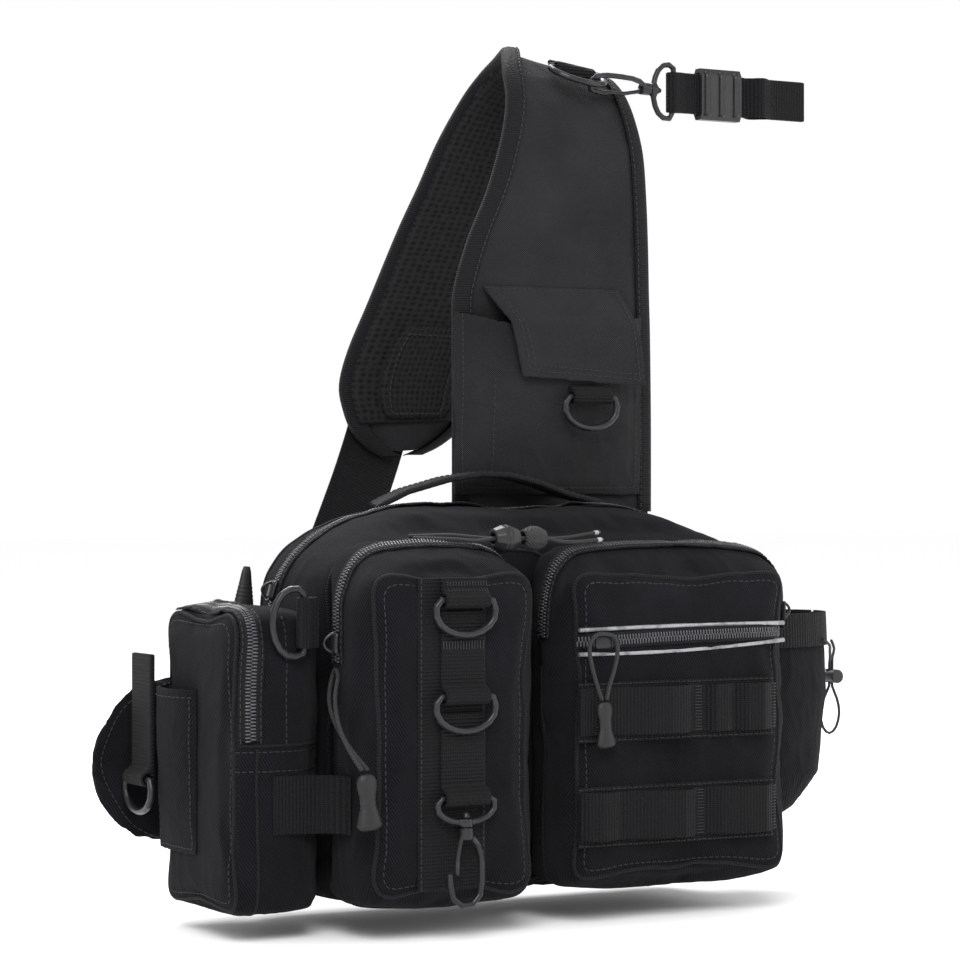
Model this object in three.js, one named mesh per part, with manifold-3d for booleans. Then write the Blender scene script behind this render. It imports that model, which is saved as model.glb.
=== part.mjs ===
// Fishing tackle sling bag: a boxy zipped body with two front pockets, a side pocket, a bottle pocket,
// a wide padded shoulder strap with its own pouch, webbing, rings, hooks and elastic cords.
// Millimetres. X runs to the right as the bag is seen from the front, the front faces -Y, +Z is up.
// Places are measured from the middle of the body's front seam at its base, and the finished group is
// moved so that the origin lies under the crown of the shoulder strap, where the bag hangs.
import * as THREE from 'three';
import { mergeVertices } from 'three/addons/utils/BufferGeometryUtils.js';
import Module from 'manifold-3d';

const wasm = await Module();
wasm.setup();

// Driving dimensions
const air = 0.3; // clearance between sewn or linked pieces
const cloth = 2.4; // padded shell cloth
const webbing = { width: 25, thickness: 1.4 };
const wire = 2; // radius of the ring wire
const cord = { radius: 1.1, sides: 8 };
const body = { width: 260, depth: 85, height: 203, zipBack: 58.5, zipFoot: 148, zipOpening: 7 };
const backPad = { thickness: 6, margin: 6 };
const leftPocket = {
  left: -127.5, right: -36, foot: 6, head: 186, depth: 52,
  zipBack: 22, zipOpening: 6, zipFoot: 125, zipEnd: 5,
};
const rightPocket = {
  left: -9.5, right: 119.5, foot: 8, head: 184, depth: 45,
  zipBack: 24, zipOpening: 6, zipFoot: 136, zipEnd: -12,
};
const sidePocket = { width: 55, front: -18, back: 69, height: 151, zipInset: 10, zipOpening: 7, zipFoot: 87 };
const sleeve = { near: 22, far: 67, foot: 28, head: 110, dip: 0, bulge: 8, thickness: 1.6, lift: 0.15 };
const bottlePocket = { front: 8, back: 82, reach: 75, foot: 30, head: 141.5, wall: 1.8, drain: 14 };
const channel = { height: 19, thickness: 1.5 };
const strap = { front: 86, reach: 104, middle: 56, width: 124, base: 202, crown: 457, thickness: 7 };
const lining = { thickness: 2, margin: 0.1 };
const rearWebbing = { width: 38, thickness: 1.6 };
const pouch = { near: -9, far: 110, foot: 206, head: 306, dip: 9, bulge: 13, thickness: 1.8 };
const flap = { left: 8, width: 87, head: 320, drop: 50, lean: 16, rake: 4, thickness: 1.8 };
const handle = { back: 67, left: -71, right: 83, rise: 17, width: 16, thickness: 3 };
const ring = { width: 37, height: 21, corner: 3 };
const wing = { root: -119, tip: -212, foot: 22, head: 118, back: 95, cup: 13, thickness: 6 };
const elastic = { height: 29, foot: 41, thickness: 1.6 };
const grip = { width: 13, length: 24, thickness: 5 };
const lock = { radius: 7, bore: 2.9, length: 14 };

// Finishes
const finish = (colour, roughness, metalness = 0) =>
  new THREE.MeshStandardMaterial({ color: colour, roughness, metalness });
const oxford = finish(0x1b1b1e, 0.85);
const strapCloth = finish(0x26262a, 0.85);
const meshCloth = finish(0x0e0e10, 0.95);
const ribbed = finish(0x161618, 0.8);
const zipCoil = finish(0x2a2a2d, 0.45);
const reflective = finish(0xb4b6ba, 0.35);
const hardPlastic = finish(0x2b2c30, 0.4);
const rubber = finish(0x202022, 0.6);
const cordCover = finish(0x18181a, 0.8);

const v = (x, y, z) => new THREE.Vector3(x, y, z);

// Solids
function trimmed(geometry) {
  const plain = geometry.clone();
  plain.deleteAttribute('normal');
  plain.deleteAttribute('uv');
  return mergeVertices(plain, 1e-4);
}

function signedVolume(geometry) {
  const at = geometry.attributes.position;
  const index = geometry.index;
  const [a, b, c] = [v(0, 0, 0), v(0, 0, 0), v(0, 0, 0)];
  let total = 0;
  for (let i = 0; i < index.count; i += 3) {
    a.fromBufferAttribute(at, index.getX(i));
    b.fromBufferAttribute(at, index.getX(i + 1));
    c.fromBufferAttribute(at, index.getX(i + 2));
    total += a.dot(b.cross(c)) / 6;
  }
  return total;
}

function facingOut(geometry) {
  if (signedVolume(geometry) > 0) return geometry;
  const index = Array.from(geometry.index.array);
  for (let i = 0; i < index.length; i += 3) {
    [index[i + 1], index[i + 2]] = [index[i + 2], index[i + 1]];
  }
  geometry.setIndex(index);
  return geometry;
}

function indexed(points, triangles) {
  const geometry = new THREE.BufferGeometry();
  geometry.setAttribute('position', new THREE.Float32BufferAttribute(points.flatMap((p) => [p.x, p.y, p.z]), 3));
  geometry.setIndex(triangles);
  return facingOut(geometry);
}

function solid(geometry) {
  const closed = facingOut(trimmed(geometry));
  const mesh = new wasm.Mesh({
    numProp: 3,
    vertProperties: new Float32Array(closed.attributes.position.array),
    triVerts: new Uint32Array(closed.index.array),
  });
  return new wasm.Manifold(mesh);
}

function geometryOf(manifold) {
  const mesh = manifold.getMesh();
  const geometry = new THREE.BufferGeometry();
  geometry.setAttribute('position', new THREE.BufferAttribute(new Float32Array(mesh.vertProperties), 3));
  geometry.setIndex(new THREE.BufferAttribute(new Uint32Array(mesh.triVerts), 1));
  return geometry;
}

// A closed solid through rings of equally many points, capped at both ends from the ring's middle.
function loft(rings) {
  const count = rings[0].length;
  const points = rings.flat();
  const triangles = [];
  for (let r = 0; r + 1 < rings.length; r++) {
    for (let i = 0; i < count; i++) {
      const j = (i + 1) % count;
      const [a, b] = [r * count + i, r * count + j];
      triangles.push(a, b, b + count, a, b + count, a + count);
    }
  }
  for (const [r, turn] of [[0, true], [rings.length - 1, false]]) {
    const middle = rings[r].reduce((sum, p) => sum.add(p), v(0, 0, 0)).divideScalar(count);
    points.push(middle);
    for (let i = 0; i < count; i++) {
      const [a, b] = [r * count + i, r * count + ((i + 1) % count)];
      triangles.push(...(turn ? [b, a] : [a, b]), points.length - 1);
    }
  }
  return indexed(points, triangles);
}

// A sheet of even or varying thickness on a grid of points: rows along it, columns across it.
function slab(grid, thickness) {
  const [rows, columns] = [grid.length, grid[0].length];
  const at = (i, j) => grid[Math.min(Math.max(i, 0), rows - 1)][Math.min(Math.max(j, 0), columns - 1)];
  const points = [];
  for (const side of [-0.5, 0.5]) {
    for (let i = 0; i < rows; i++) {
      for (let j = 0; j < columns; j++) {
        const along = at(i + 1, j).clone().sub(at(i - 1, j));
        const across = at(i, j + 1).clone().sub(at(i, j - 1));
        const deep = typeof thickness === 'function' ? thickness(i / (rows - 1), j / (columns - 1)) : thickness;
        points.push(at(i, j).clone().addScaledVector(along.cross(across).normalize(), side * deep));
      }
    }
  }
  const id = (side, i, j) => side * rows * columns + i * columns + j;
  const triangles = [];
  const quad = (a, b, c, d) => triangles.push(a, b, c, a, c, d);
  for (let i = 0; i + 1 < rows; i++) {
    for (let j = 0; j + 1 < columns; j++) {
      quad(id(0, i, j), id(0, i + 1, j), id(0, i + 1, j + 1), id(0, i, j + 1));
      quad(id(1, i, j), id(1, i, j + 1), id(1, i + 1, j + 1), id(1, i + 1, j));
    }
    quad(id(0, i, 0), id(1, i, 0), id(1, i + 1, 0), id(0, i + 1, 0));
    quad(id(0, i, columns - 1), id(0, i + 1, columns - 1), id(1, i + 1, columns - 1), id(1, i, columns - 1));
  }
  for (let j = 0; j + 1 < columns; j++) {
    quad(id(0, 0, j), id(0, 0, j + 1), id(1, 0, j + 1), id(1, 0, j));
    quad(id(0, rows - 1, j), id(1, rows - 1, j), id(1, rows - 1, j + 1), id(0, rows - 1, j + 1));
  }
  return indexed(points, triangles);
}

// A round wire along a closed flat path; the path's plane has the given normal.
function wireLoop(path, radius, normal, sides = 6) {
  const count = path.length;
  const points = [];
  const triangles = [];
  path.forEach((p, i) => {
    const along = path[(i + 1) % count].clone().sub(path[(i + count - 1) % count]).normalize();
    const out = along.cross(normal).normalize();
    for (let k = 0; k < sides; k++) {
      const angle = (k / sides) * 2 * Math.PI;
      points.push(p.clone().addScaledVector(out, radius * Math.cos(angle)).addScaledVector(normal, radius * Math.sin(angle)));
    }
  });
  for (let i = 0; i < count; i++) {
    for (let k = 0; k < sides; k++) {
      const [a, b] = [i * sides + k, i * sides + ((k + 1) % sides)];
      const [c, d] = [((i + 1) % count) * sides + k, ((i + 1) % count) * sides + ((k + 1) % sides)];
      triangles.push(a, b, d, a, d, c);
    }
  }
  return indexed(points, triangles);
}

// A round cord or rod through chosen points.
function tube(points, radius, sides = cord.sides, stepsPerPoint = 2) {
  const curve = new THREE.CatmullRomCurve3(points, false, 'centripetal');
  const section = new THREE.Shape();
  for (let k = 0; k < sides; k++) {
    const angle = (k / sides) * 2 * Math.PI;
    const [x, y] = [radius * Math.cos(angle), radius * Math.sin(angle)];
    if (k === 0) section.moveTo(x, y);
    else section.lineTo(x, y);
  }
  const steps = (points.length - 1) * stepsPerPoint;
  return facingOut(trimmed(new THREE.ExtrudeGeometry(section, { steps, bevelEnabled: false, extrudePath: curve })));
}

// Flat outline extruded along Z, then stood in place by three axes: the outline's x, its y and the extrusion.
function extruded(shape, length, xAxis, yAxis, zAxis, origin, curveSegments = 6) {
  const geometry = new THREE.ExtrudeGeometry(shape, { depth: length, bevelEnabled: false, curveSegments });
  const frame = new THREE.Matrix4().makeBasis(xAxis, yAxis, zAxis).setPosition(origin);
  geometry.applyMatrix4(frame);
  return facingOut(trimmed(geometry));
}

function polygon(points) {
  const shape = new THREE.Shape();
  points.forEach(([x, y], i) => (i === 0 ? shape.moveTo(x, y) : shape.lineTo(x, y)));
  shape.closePath();
  return shape;
}

const xDir = v(1, 0, 0);
const yDir = v(0, 1, 0);
const zDir = v(0, 0, 1);

// A block between two corners, used only to cut.
function block(low, high) {
  const geometry = new THREE.BoxGeometry(high.x - low.x, high.y - low.y, high.z - low.z);
  geometry.translate((low.x + high.x) / 2, (low.y + high.y) / 2, (low.z + high.z) / 2);
  return solid(geometry);
}

// Outline with four rounded corners, counter-clockwise from the lower left. Each corner has a run and a drop.
function outline({ left, right, foot, head, lowRun, lowDrop, leftRun, leftDrop, rightRun, rightDrop }, steps = 5) {
  const points = [];
  const corner = (cx, cy, rx, ry, from) => {
    for (let i = 0; i <= steps; i++) {
      const angle = from + (i / steps) * (Math.PI / 2);
      points.push([cx + rx * Math.cos(angle), cy + ry * Math.sin(angle)]);
    }
  };
  corner(left + lowRun, foot + lowDrop, lowRun, lowDrop, Math.PI);
  corner(right - lowRun, foot + lowDrop, lowRun, lowDrop, 1.5 * Math.PI);
  corner(right - rightRun, head - rightDrop, rightRun, rightDrop, 0);
  corner(left + leftRun, head - leftDrop, leftRun, leftDrop, 0.5 * Math.PI);
  return points;
}

// The same outline grown outwards by a distance, or shrunk where it is negative.
function grown(o, by) {
  const round = (size) => Math.max(size + by, 0.8);
  return {
    left: o.left - by, right: o.right + by, foot: o.foot - by, head: o.head + by,
    lowRun: round(o.lowRun), lowDrop: round(o.lowDrop),
    leftRun: round(o.leftRun), leftDrop: round(o.leftDrop),
    rightRun: round(o.rightRun), rightDrop: round(o.rightDrop),
  };
}

// Solid through outlines set at depths; it is grown or shrunk all round, its two ends included.
function padded(sections, place, by = 0) {
  const last = sections.length - 1;
  const way = Math.sign(sections[last].at - sections[0].at);
  return loft(sections.map((s, i) => {
    const end = i === 0 ? -1 : i === last ? 1 : 0;
    return outline(grown(s, by)).map(([a, b]) => place(a, b, s.at + end * way * by));
  }));
}

// A sewn shell with a slot for its zip, and the zip tape and coil that fill the slot.
function zippedShell(sections, place, wall, slot, tape) {
  const skin = solid(padded(sections, place)).subtract(solid(padded(sections, place, -wall)));
  return { shell: geometryOf(skin.subtract(slot)), zip: geometryOf(skin.intersect(tape)) };
}

const upright = (a, b, deep) => v(a, deep, b); // outline seen from the front, stacked along Y
const sideways = (a, b, deep) => v(deep, a, b); // outline seen from the side, stacked along X

// Body. Depths are shares of its depth, the rest shares of its width or height.
const bodySections = [
  { deep: 0, side: 0.985, foot: 0.01, head: 0.912, leftRun: 0.11, leftDrop: 0.13, rightRun: 0.09, rightDrop: 0.08 },
  { deep: 0.05, side: 1, foot: 0, head: 0.922, leftRun: 0.12, leftDrop: 0.14, rightRun: 0.1, rightDrop: 0.1 },
  { deep: 0.4, side: 1, foot: 0, head: 0.96, leftRun: 0.19, leftDrop: 0.19, rightRun: 0.13, rightDrop: 0.13 },
  { deep: 0.7, side: 1, foot: 0, head: 0.985, leftRun: 0.27, leftDrop: 0.24, rightRun: 0.17, rightDrop: 0.17 },
  { deep: 0.95, side: 1, foot: 0, head: 1, leftRun: 0.3, leftDrop: 0.25, rightRun: 0.2, rightDrop: 0.2 },
  { deep: 1, side: 0.985, foot: 0.01, head: 0.99, leftRun: 0.29, leftDrop: 0.24, rightRun: 0.2, rightDrop: 0.2 },
].map((s) => ({
  at: s.deep * body.depth,
  left: (-s.side * body.width) / 2, right: (s.side * body.width) / 2,
  foot: s.foot * body.height, head: s.head * body.height,
  lowRun: 0.045 * body.width, lowDrop: 0.055 * body.height,
  leftRun: s.leftRun * body.width, leftDrop: s.leftDrop * body.height,
  rightRun: s.rightRun * body.width, rightDrop: s.rightDrop * body.height,
}));
const beyond = 20; // how far a cutter reaches past what it cuts
function bodySlot(gap) {
  const [half, reach] = [body.zipOpening / 2 - gap, body.width / 2 + beyond];
  return block(
    v(-reach, body.zipBack - half, body.zipFoot + gap),
    v(reach, body.zipBack + half, body.height + beyond),
  );
}
const mainBody = zippedShell(bodySections, upright, cloth, bodySlot(0), bodySlot(air));

// Back panel that rests against the wearer
const rearOutline = bodySections[bodySections.length - 1];
const backSections = [
  { inset: 0, deep: 0 }, { inset: 0, deep: 0.6 }, { inset: 0.6, deep: 1 },
].map(({ inset, deep }) => ({
  ...grown(rearOutline, -backPad.margin * (1 + inset) + 2),
  at: body.depth + air + deep * backPad.thickness,
}));
const backPanel = padded(backSections, upright);

// Front pockets. Depths are shares of the pocket's depth, the rest shares of its width or height.
function frontSections(pocket, rows) {
  const width = pocket.right - pocket.left;
  const height = pocket.head - pocket.foot;
  return rows.map((s) => ({
    at: -air - s.deep * (pocket.depth - air),
    left: pocket.left - s.leftOut * width, right: pocket.right + s.rightOut * width,
    foot: pocket.foot + s.foot * height, head: pocket.foot + s.head * height,
    lowRun: s.low * width, lowDrop: s.low * width,
    leftRun: s.run * width, leftDrop: s.run * width,
    rightRun: s.run * width, rightDrop: s.run * width,
  }));
}
const leftPocketSections = frontSections(leftPocket, [
  { deep: 0, leftOut: 0.005, rightOut: 0.05, foot: -0.02, head: 1, low: 0.1, run: 0.2 },
  { deep: 0.42, leftOut: 0.02, rightOut: 0.05, foot: -0.02, head: 0.975, low: 0.1, run: 0.24 },
  { deep: 0.82, leftOut: 0.03, rightOut: 0.05, foot: -0.01, head: 0.925, low: 0.12, run: 0.15 },
  { deep: 0.95, leftOut: 0, rightOut: 0, foot: 0.015, head: 0.908, low: 0.12, run: 0.1 },
  { deep: 1, leftOut: -0.015, rightOut: -0.015, foot: 0.025, head: 0.9, low: 0.11, run: 0.09 },
]);
const rightPocketSections = frontSections(rightPocket, [
  { deep: 0, leftOut: 0.03, rightOut: 0.07, foot: -0.02, head: 1, low: 0.08, run: 0.16 },
  { deep: 0.52, leftOut: 0.035, rightOut: 0.075, foot: -0.02, head: 0.98, low: 0.08, run: 0.17 },
  { deep: 0.84, leftOut: 0.025, rightOut: 0.045, foot: -0.005, head: 0.925, low: 0.08, run: 0.09 },
  { deep: 0.95, leftOut: 0, rightOut: 0, foot: 0.015, head: 0.907, low: 0.06, run: 0.05 },
  { deep: 1, leftOut: -0.01, rightOut: -0.01, foot: 0.025, head: 0.9, low: 0.05, run: 0.04 },
]);

// The slot runs up the left gusset and over the top; zipEnd keeps it short of the right side or lets it turn down.
function pocketSlot(pocket, gap) {
  const height = pocket.head - pocket.foot;
  const shoulder = pocket.head - 0.1 * height;
  const inner = pocket.left + 0.1 * (pocket.right - pocket.left);
  const [top, left] = [pocket.head + beyond, pocket.left - beyond];
  const end = pocket.right - pocket.zipEnd;
  const turned = pocket.zipEnd < 0 ? [[end - 14, shoulder + gap], [end - 14, shoulder - 8 + gap]] : [];
  const low = pocket.zipEnd < 0 ? shoulder - 8 : shoulder;
  const shape = polygon([
    [left, pocket.zipFoot + gap], [inner, pocket.zipFoot + gap], [inner, shoulder + gap], ...turned,
    [end - gap, low + gap], [end - gap, top], [left, top],
  ]);
  const width = pocket.zipOpening - 2 * gap;
  return solid(extruded(shape, width, xDir, zDir, yDir.clone().negate(), v(0, -pocket.zipBack + width / 2, 0)));
}
const frontPocket = (pocket, sections) =>
  zippedShell(sections, upright, cloth, pocketSlot(pocket, 0), pocketSlot(pocket, air));
const frontLeft = frontPocket(leftPocket, leftPocketSections);
const frontRight = frontPocket(rightPocket, rightPocketSections);

// Side pocket on the left, seen from its outer side
const sideWall = -body.width / 2 - air;
const sideSpan = sidePocket.back - sidePocket.front;
const sideSections = [
  { deep: 0, front: 0.19, back: 0, foot: 0.03, head: 0.98, low: 0.06, run: 0.1 },
  { deep: 0.2, front: 0.012, back: 0, foot: 0.01, head: 0.99, low: 0.08, run: 0.12 },
  { deep: 0.5, front: 0, back: 0, foot: 0, head: 1, low: 0.08, run: 0.14 },
  { deep: 0.95, front: 0, back: 0, foot: 0, head: 1, low: 0.08, run: 0.14 },
  { deep: 1, front: 0.025, back: 0.025, foot: 0.015, head: 0.985, low: 0.1, run: 0.13 },
].map((s) => ({
  at: sideWall - s.deep * (sidePocket.width - air),
  left: sidePocket.front + s.front * sideSpan, right: sidePocket.back - s.back * sideSpan,
  foot: s.foot * sidePocket.height, head: s.head * sidePocket.height,
  lowRun: s.low * sideSpan, lowDrop: s.low * sideSpan,
  leftRun: s.run * sideSpan, leftDrop: s.run * sideSpan,
  rightRun: s.run * sideSpan, rightDrop: s.run * sideSpan,
}));
const sideFace = -body.width / 2 - sidePocket.width;
function sideSlot(gap) {
  const [inner, shoulder] = [sidePocket.front + 10, sidePocket.height - 13];
  const [front, top] = [sidePocket.front - beyond, sidePocket.height + beyond];
  const end = sidePocket.back - 9;
  const shape = polygon([
    [front, sidePocket.zipFoot + gap], [inner, sidePocket.zipFoot + gap], [inner, shoulder + gap],
    [end - gap, shoulder + gap], [end - gap, top], [front, top],
  ]);
  const width = sidePocket.zipOpening - 2 * gap;
  const at = sideFace + sidePocket.zipInset - width / 2;
  return solid(extruded(shape, width, yDir, zDir, xDir, v(at, 0, 0)));
}
const leftSide = zippedShell(sideSections, sideways, cloth, sideSlot(0), sideSlot(air));

// Patch pocket: a sheet sewn down at its sides and foot, standing off in the middle, open at its mouth.
// rows hold shares of the pocket's height and of its bulge; place turns across, stand and up into a point.
const patchRows = [
  { up: 0, out: 0.04 }, { up: 0.08, out: 0.3 }, { up: 0.3, out: 0.7 }, { up: 0.65, out: 0.95 }, { up: 1, out: 1 },
];
function patchPocket({ near, far, foot, head, dip, bulge, thickness }, place) {
  const columns = 10;
  return slab(patchRows.map(({ up, out }) => Array.from({ length: columns + 1 }, (_, j) => {
    const across = j / columns;
    const swell = Math.sin(Math.PI * across);
    const height = foot + up * (head - dip * swell - foot);
    return place(near + across * (far - near), thickness / 2 + bulge * out * swell ** 0.7, height);
  })), thickness);
}
const sleeveSheet = patchPocket(sleeve, (a, stand, b) => v(sideFace - air - sleeve.lift - stand, a, b));

// Bottle pocket on the right: a D-shaped tube of cloth with an open mouth and a drain hole in its foot
const bottleSpan = bottlePocket.back - bottlePocket.front;
const bottleRows = [
  { up: 0, out: 0.62, pinch: 0.16 }, { up: 0.04, out: 0.72, pinch: 0.1 }, { up: 0.2, out: 0.93, pinch: 0.02 },
  { up: 0.6, out: 1, pinch: 0 }, { up: 1, out: 0.97, pinch: 0.01 },
];
const bottleWall = body.width / 2 + air;
function bottleRing(row, by) {
  const [front, back] = [bottlePocket.front + row.pinch * bottleSpan - by, bottlePocket.back - row.pinch * bottleSpan + by];
  const height = bottlePocket.foot + row.up * (bottlePocket.head - bottlePocket.foot);
  const reach = bottlePocket.reach * row.out + by;
  const points = [];
  const count = 18;
  for (let i = 0; i <= count; i++) {
    const angle = -Math.PI / 2 + (i / count) * Math.PI;
    const squeeze = Math.cos(angle) ** 0.8;
    points.push(v(bottleWall - Math.min(by, 0) + (reach + Math.min(by, 0)) * squeeze,
      (front + back) / 2 + ((back - front) / 2) * Math.sin(angle), height));
  }
  return points;
}
function bottleSolid(by, low, high) {
  const rings = bottleRows.map((row) => bottleRing(row, by));
  rings[0].forEach((p) => { p.z += low; });
  rings[rings.length - 1].forEach((p) => { p.z += high; });
  return solid(loft(rings));
}
const drain = new THREE.CylinderGeometry(bottlePocket.drain, bottlePocket.drain, 4 * bottlePocket.wall, 16);
drain.rotateX(Math.PI / 2);
drain.translate(bottleWall + 0.36 * bottlePocket.reach, (bottlePocket.front + bottlePocket.back) / 2, bottlePocket.foot);
const bottleCloth = bottleSolid(0, 0, 0)
  .subtract(bottleSolid(-bottlePocket.wall, bottlePocket.wall, beyond))
  .subtract(solid(drain));
const channelBand = bottleSolid(air + channel.thickness, 0, 0)
  .subtract(bottleSolid(air, -beyond, beyond))
  .intersect(block(
    v(bottleWall + 1, -beyond, bottlePocket.head - channel.height),
    v(bottleWall + 2 * bottlePocket.reach, body.depth + beyond, bottlePocket.head + beyond),
  ));

// Shoulder strap: cross lines from its foot on the body over the crown and down behind. back is a share of the
// arch's reach, the rises are shares of the height from base to crown, left and right shares of the strap's width.
const strapRows = [
  { back: 0, left: -0.5, right: 0.5, leftRise: -0.06, rightRise: -0.06 },
  { back: 0, left: -0.5, right: 0.5, leftRise: 0.18, rightRise: 0.18 },
  { back: 0, left: -0.5, right: 0.495, leftRise: 0.37, rightRise: 0.37 },
  { back: 0, left: -0.495, right: 0.49, leftRise: 0.45, rightRise: 0.45 },
  { back: 0, left: -0.425, right: 0.485, leftRise: 0.56, rightRise: 0.56 },
  { back: 0, left: -0.325, right: 0.475, leftRise: 0.67, rightRise: 0.67 },
  { back: 0.005, left: -0.25, right: 0.46, leftRise: 0.785, rightRise: 0.765 },
  { back: 0.04, left: -0.21, right: 0.435, leftRise: 0.87, rightRise: 0.84 },
  { back: 0.13, left: -0.185, right: 0.43, leftRise: 0.935, rightRise: 0.895 },
  { back: 0.28, left: -0.12, right: 0.45, leftRise: 0.98, rightRise: 0.93 },
  { back: 0.5, left: -0.02, right: 0.49, leftRise: 1, rightRise: 0.945 },
  { back: 0.72, left: 0.04, right: 0.53, leftRise: 0.99, rightRise: 0.94 },
  { back: 0.88, left: 0.045, right: 0.54, leftRise: 0.965, rightRise: 0.915 },
  { back: 0.97, left: -0.005, right: 0.525, leftRise: 0.915, rightRise: 0.87 },
  { back: 1, left: -0.115, right: 0.49, leftRise: 0.82, rightRise: 0.79 },
  { back: 1, left: -0.22, right: 0.43, leftRise: 0.715, rightRise: 0.695 },
  { back: 1, left: -0.33, right: 0.36, leftRise: 0.61, rightRise: 0.595 },
  { back: 1, left: -0.48, right: 0.24, leftRise: 0.45, rightRise: 0.44 },
  { back: 1, left: -0.585, right: 0.15, leftRise: 0.34, rightRise: 0.335 },
  { back: 1, left: -0.63, right: 0.09, leftRise: 0.262, rightRise: 0.265 },
  { back: 1, left: -0.61, right: 0.05, leftRise: 0.205, rightRise: 0.212 },
  { back: 1, left: -0.565, right: -0.01, leftRise: 0.157, rightRise: 0.17 },
  { back: 1, left: -0.49, right: -0.12, leftRise: 0.122, rightRise: 0.13 },
  { back: 1, left: -0.42, right: -0.22, leftRise: 0.104, rightRise: 0.108 },
];
const strapLines = strapRows.map((row) => {
  const y = strap.front + row.back * strap.reach;
  const tall = strap.crown - strap.base;
  return [
    v(strap.middle + row.left * strap.width, y, strap.base + row.leftRise * tall),
    v(strap.middle + row.right * strap.width, y, strap.base + row.rightRise * tall),
  ];
});
// Directions out of the arch at each cross line
const strapOut = strapLines.map((line, i) => {
  const middle = (k) => {
    const [a, b] = strapLines[Math.min(Math.max(k, 0), strapLines.length - 1)];
    return a.clone().add(b).multiplyScalar(0.5);
  };
  const along = middle(i + 1).sub(middle(i - 1));
  return line[1].clone().sub(line[0]).cross(along).normalize();
});
function strapSheet(first, last, margin, stand, thickness, columns = [0, 0.09, 0.5, 0.91, 1]) {
  return slab(strapLines.slice(first, last + 1).map(([a, b], k) => {
    const out = strapOut[first + k];
    return columns.map((share) => a.clone().lerp(b, margin + share * (1 - 2 * margin)).addScaledVector(out, stand));
  }), (along, across) => thickness * (across === 0 || across === 1 ? 0.5 : 1));
}
const liningStand = -(strap.thickness + lining.thickness) / 2 - 2 * air;
const landing = solid(padded(bodySections, upright, 1.5 * air)).add(solid(padded(backSections, upright, 1.8 * air)));
const strapPad = solid(strapSheet(0, strapRows.length - 1, 0, 0, strap.thickness)).subtract(landing);
const meshPad = strapSheet(3, strapRows.length - 2, lining.margin, liningStand, lining.thickness, [0, 0.5, 1]);

// Hanging point: under the crown, below the mesh
const crownRow = strapRows.findIndex((row) => row.leftRise === Math.max(...strapRows.map((r) => r.leftRise)));
const hang = strapLines[crownRow][0].clone().add(strapLines[crownRow][1]).multiplyScalar(0.5)
  .addScaledVector(strapOut[crownRow], liningStand - lining.thickness / 2);

// Rear webbing from the strap's end down to the wing, behind the body
const rearStart = strap.front + strap.reach + strap.thickness / 2 + air + rearWebbing.thickness / 2 + 0.25;
const rearRoute = [
  v(6, rearStart, 252), v(0, rearStart, 232), v(-17, 186, 199),
  v(-43, 172, 158), v(-80, 154, 121), v(-122, 133, 96), v(-160, 115, 84), v(-186, 105.4, 79),
];
const rearSheet = slab(rearRoute.map((p, i) => {
  const before = rearRoute[Math.max(i - 1, 0)];
  const after = rearRoute[Math.min(i + 1, rearRoute.length - 1)];
  const along = after.clone().sub(before).normalize();
  const across = along.clone().cross(yDir).normalize().multiplyScalar(rearWebbing.width / 2);
  return [p.clone().sub(across), p.clone().add(across)];
}), rearWebbing.thickness);

// Wing behind the side pocket: a cupped pad with a rounded outer end
const wingRows = [
  { out: 0, low: 0, high: 1 }, { out: 0.25, low: 0, high: 1 }, { out: 0.55, low: 0.02, high: 0.985 },
  { out: 0.75, low: 0.06, high: 0.93 }, { out: 0.88, low: 0.14, high: 0.83 }, { out: 0.97, low: 0.27, high: 0.68 },
  { out: 1, low: 0.4, high: 0.55 },
];
const wingSheet = slab(wingRows.map(({ out, low, high }) => [0, 0.15, 0.5, 0.85, 1].map((share) => {
  const up = low + share * (high - low);
  const back = wing.back - wing.cup * out ** 2 * 0.2 + wing.cup * 0.6 * (1 - (2 * share - 1) ** 2) * out;
  return v(wing.root + out * (wing.tip - wing.root), back, wing.foot + up * (wing.head - wing.foot));
})), (along, across) => wing.thickness * (across === 0 || across === 1 ? 0.55 : 1));

// Pouch on the strap
const strapFace = strap.front - strap.thickness / 2 - air;
const pouchSheet = patchPocket(pouch, (a, stand, b) => v(a, strapFace - stand, b));

// Flap: sewn to the strap above the pouch, folded over its mouth. stand is a share of what the pouch stands off,
// down a share of the flap's drop, shift a share of its lean to the right.
const flapStand = pouch.bulge + pouch.thickness + 2.5 * air;
const flapSheet = slab([
  { stand: 0, down: 0, shift: 0 }, { stand: 0.22, down: 0.08, shift: 0.1 }, { stand: 0.66, down: 0.24, shift: 0.3 },
  { stand: 0.97, down: 0.4, shift: 0.6 }, { stand: 1.05, down: 0.66, shift: 0.8 }, { stand: 1.06, down: 1, shift: 1 },
].map(({ stand, down, shift }) => [0, 0.33, 0.67, 1].map((share) => v(
  flap.left + shift * flap.lean + share * (flap.width - 0.5 * shift * flap.lean),
  strapFace - flap.thickness / 2 - stand * flapStand,
  flap.head - down * flap.drop - flap.rake * share * down,
))), flap.thickness);

// D-ring in its own frame: bar along X at the top, bow hanging down, seen from the front
function ringPath({ width, height, corner }, sides) {
  const [half, low] = [width / 2 - wire, height - 2 * wire];
  const path = new THREE.Path();
  path.moveTo(corner - half, 0);
  path.lineTo(half - corner, 0);
  path.absarc(half - corner, -corner, corner, Math.PI / 2, 0, true);
  path.lineTo(half, -0.35 * low);
  path.absellipse(0, -0.35 * low, half, 0.65 * low, 0, -Math.PI, true);
  path.lineTo(-half, -corner);
  path.absarc(corner - half, -corner, corner, Math.PI, Math.PI / 2, true);
  return path.getSpacedPoints(sides).slice(0, sides).map((p) => v(p.x, 0, p.y));
}
const ringSteps = 18;
const dRing = (size = ring) => wireLoop(ringPath(size, ringSteps), wire, yDir);

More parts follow.
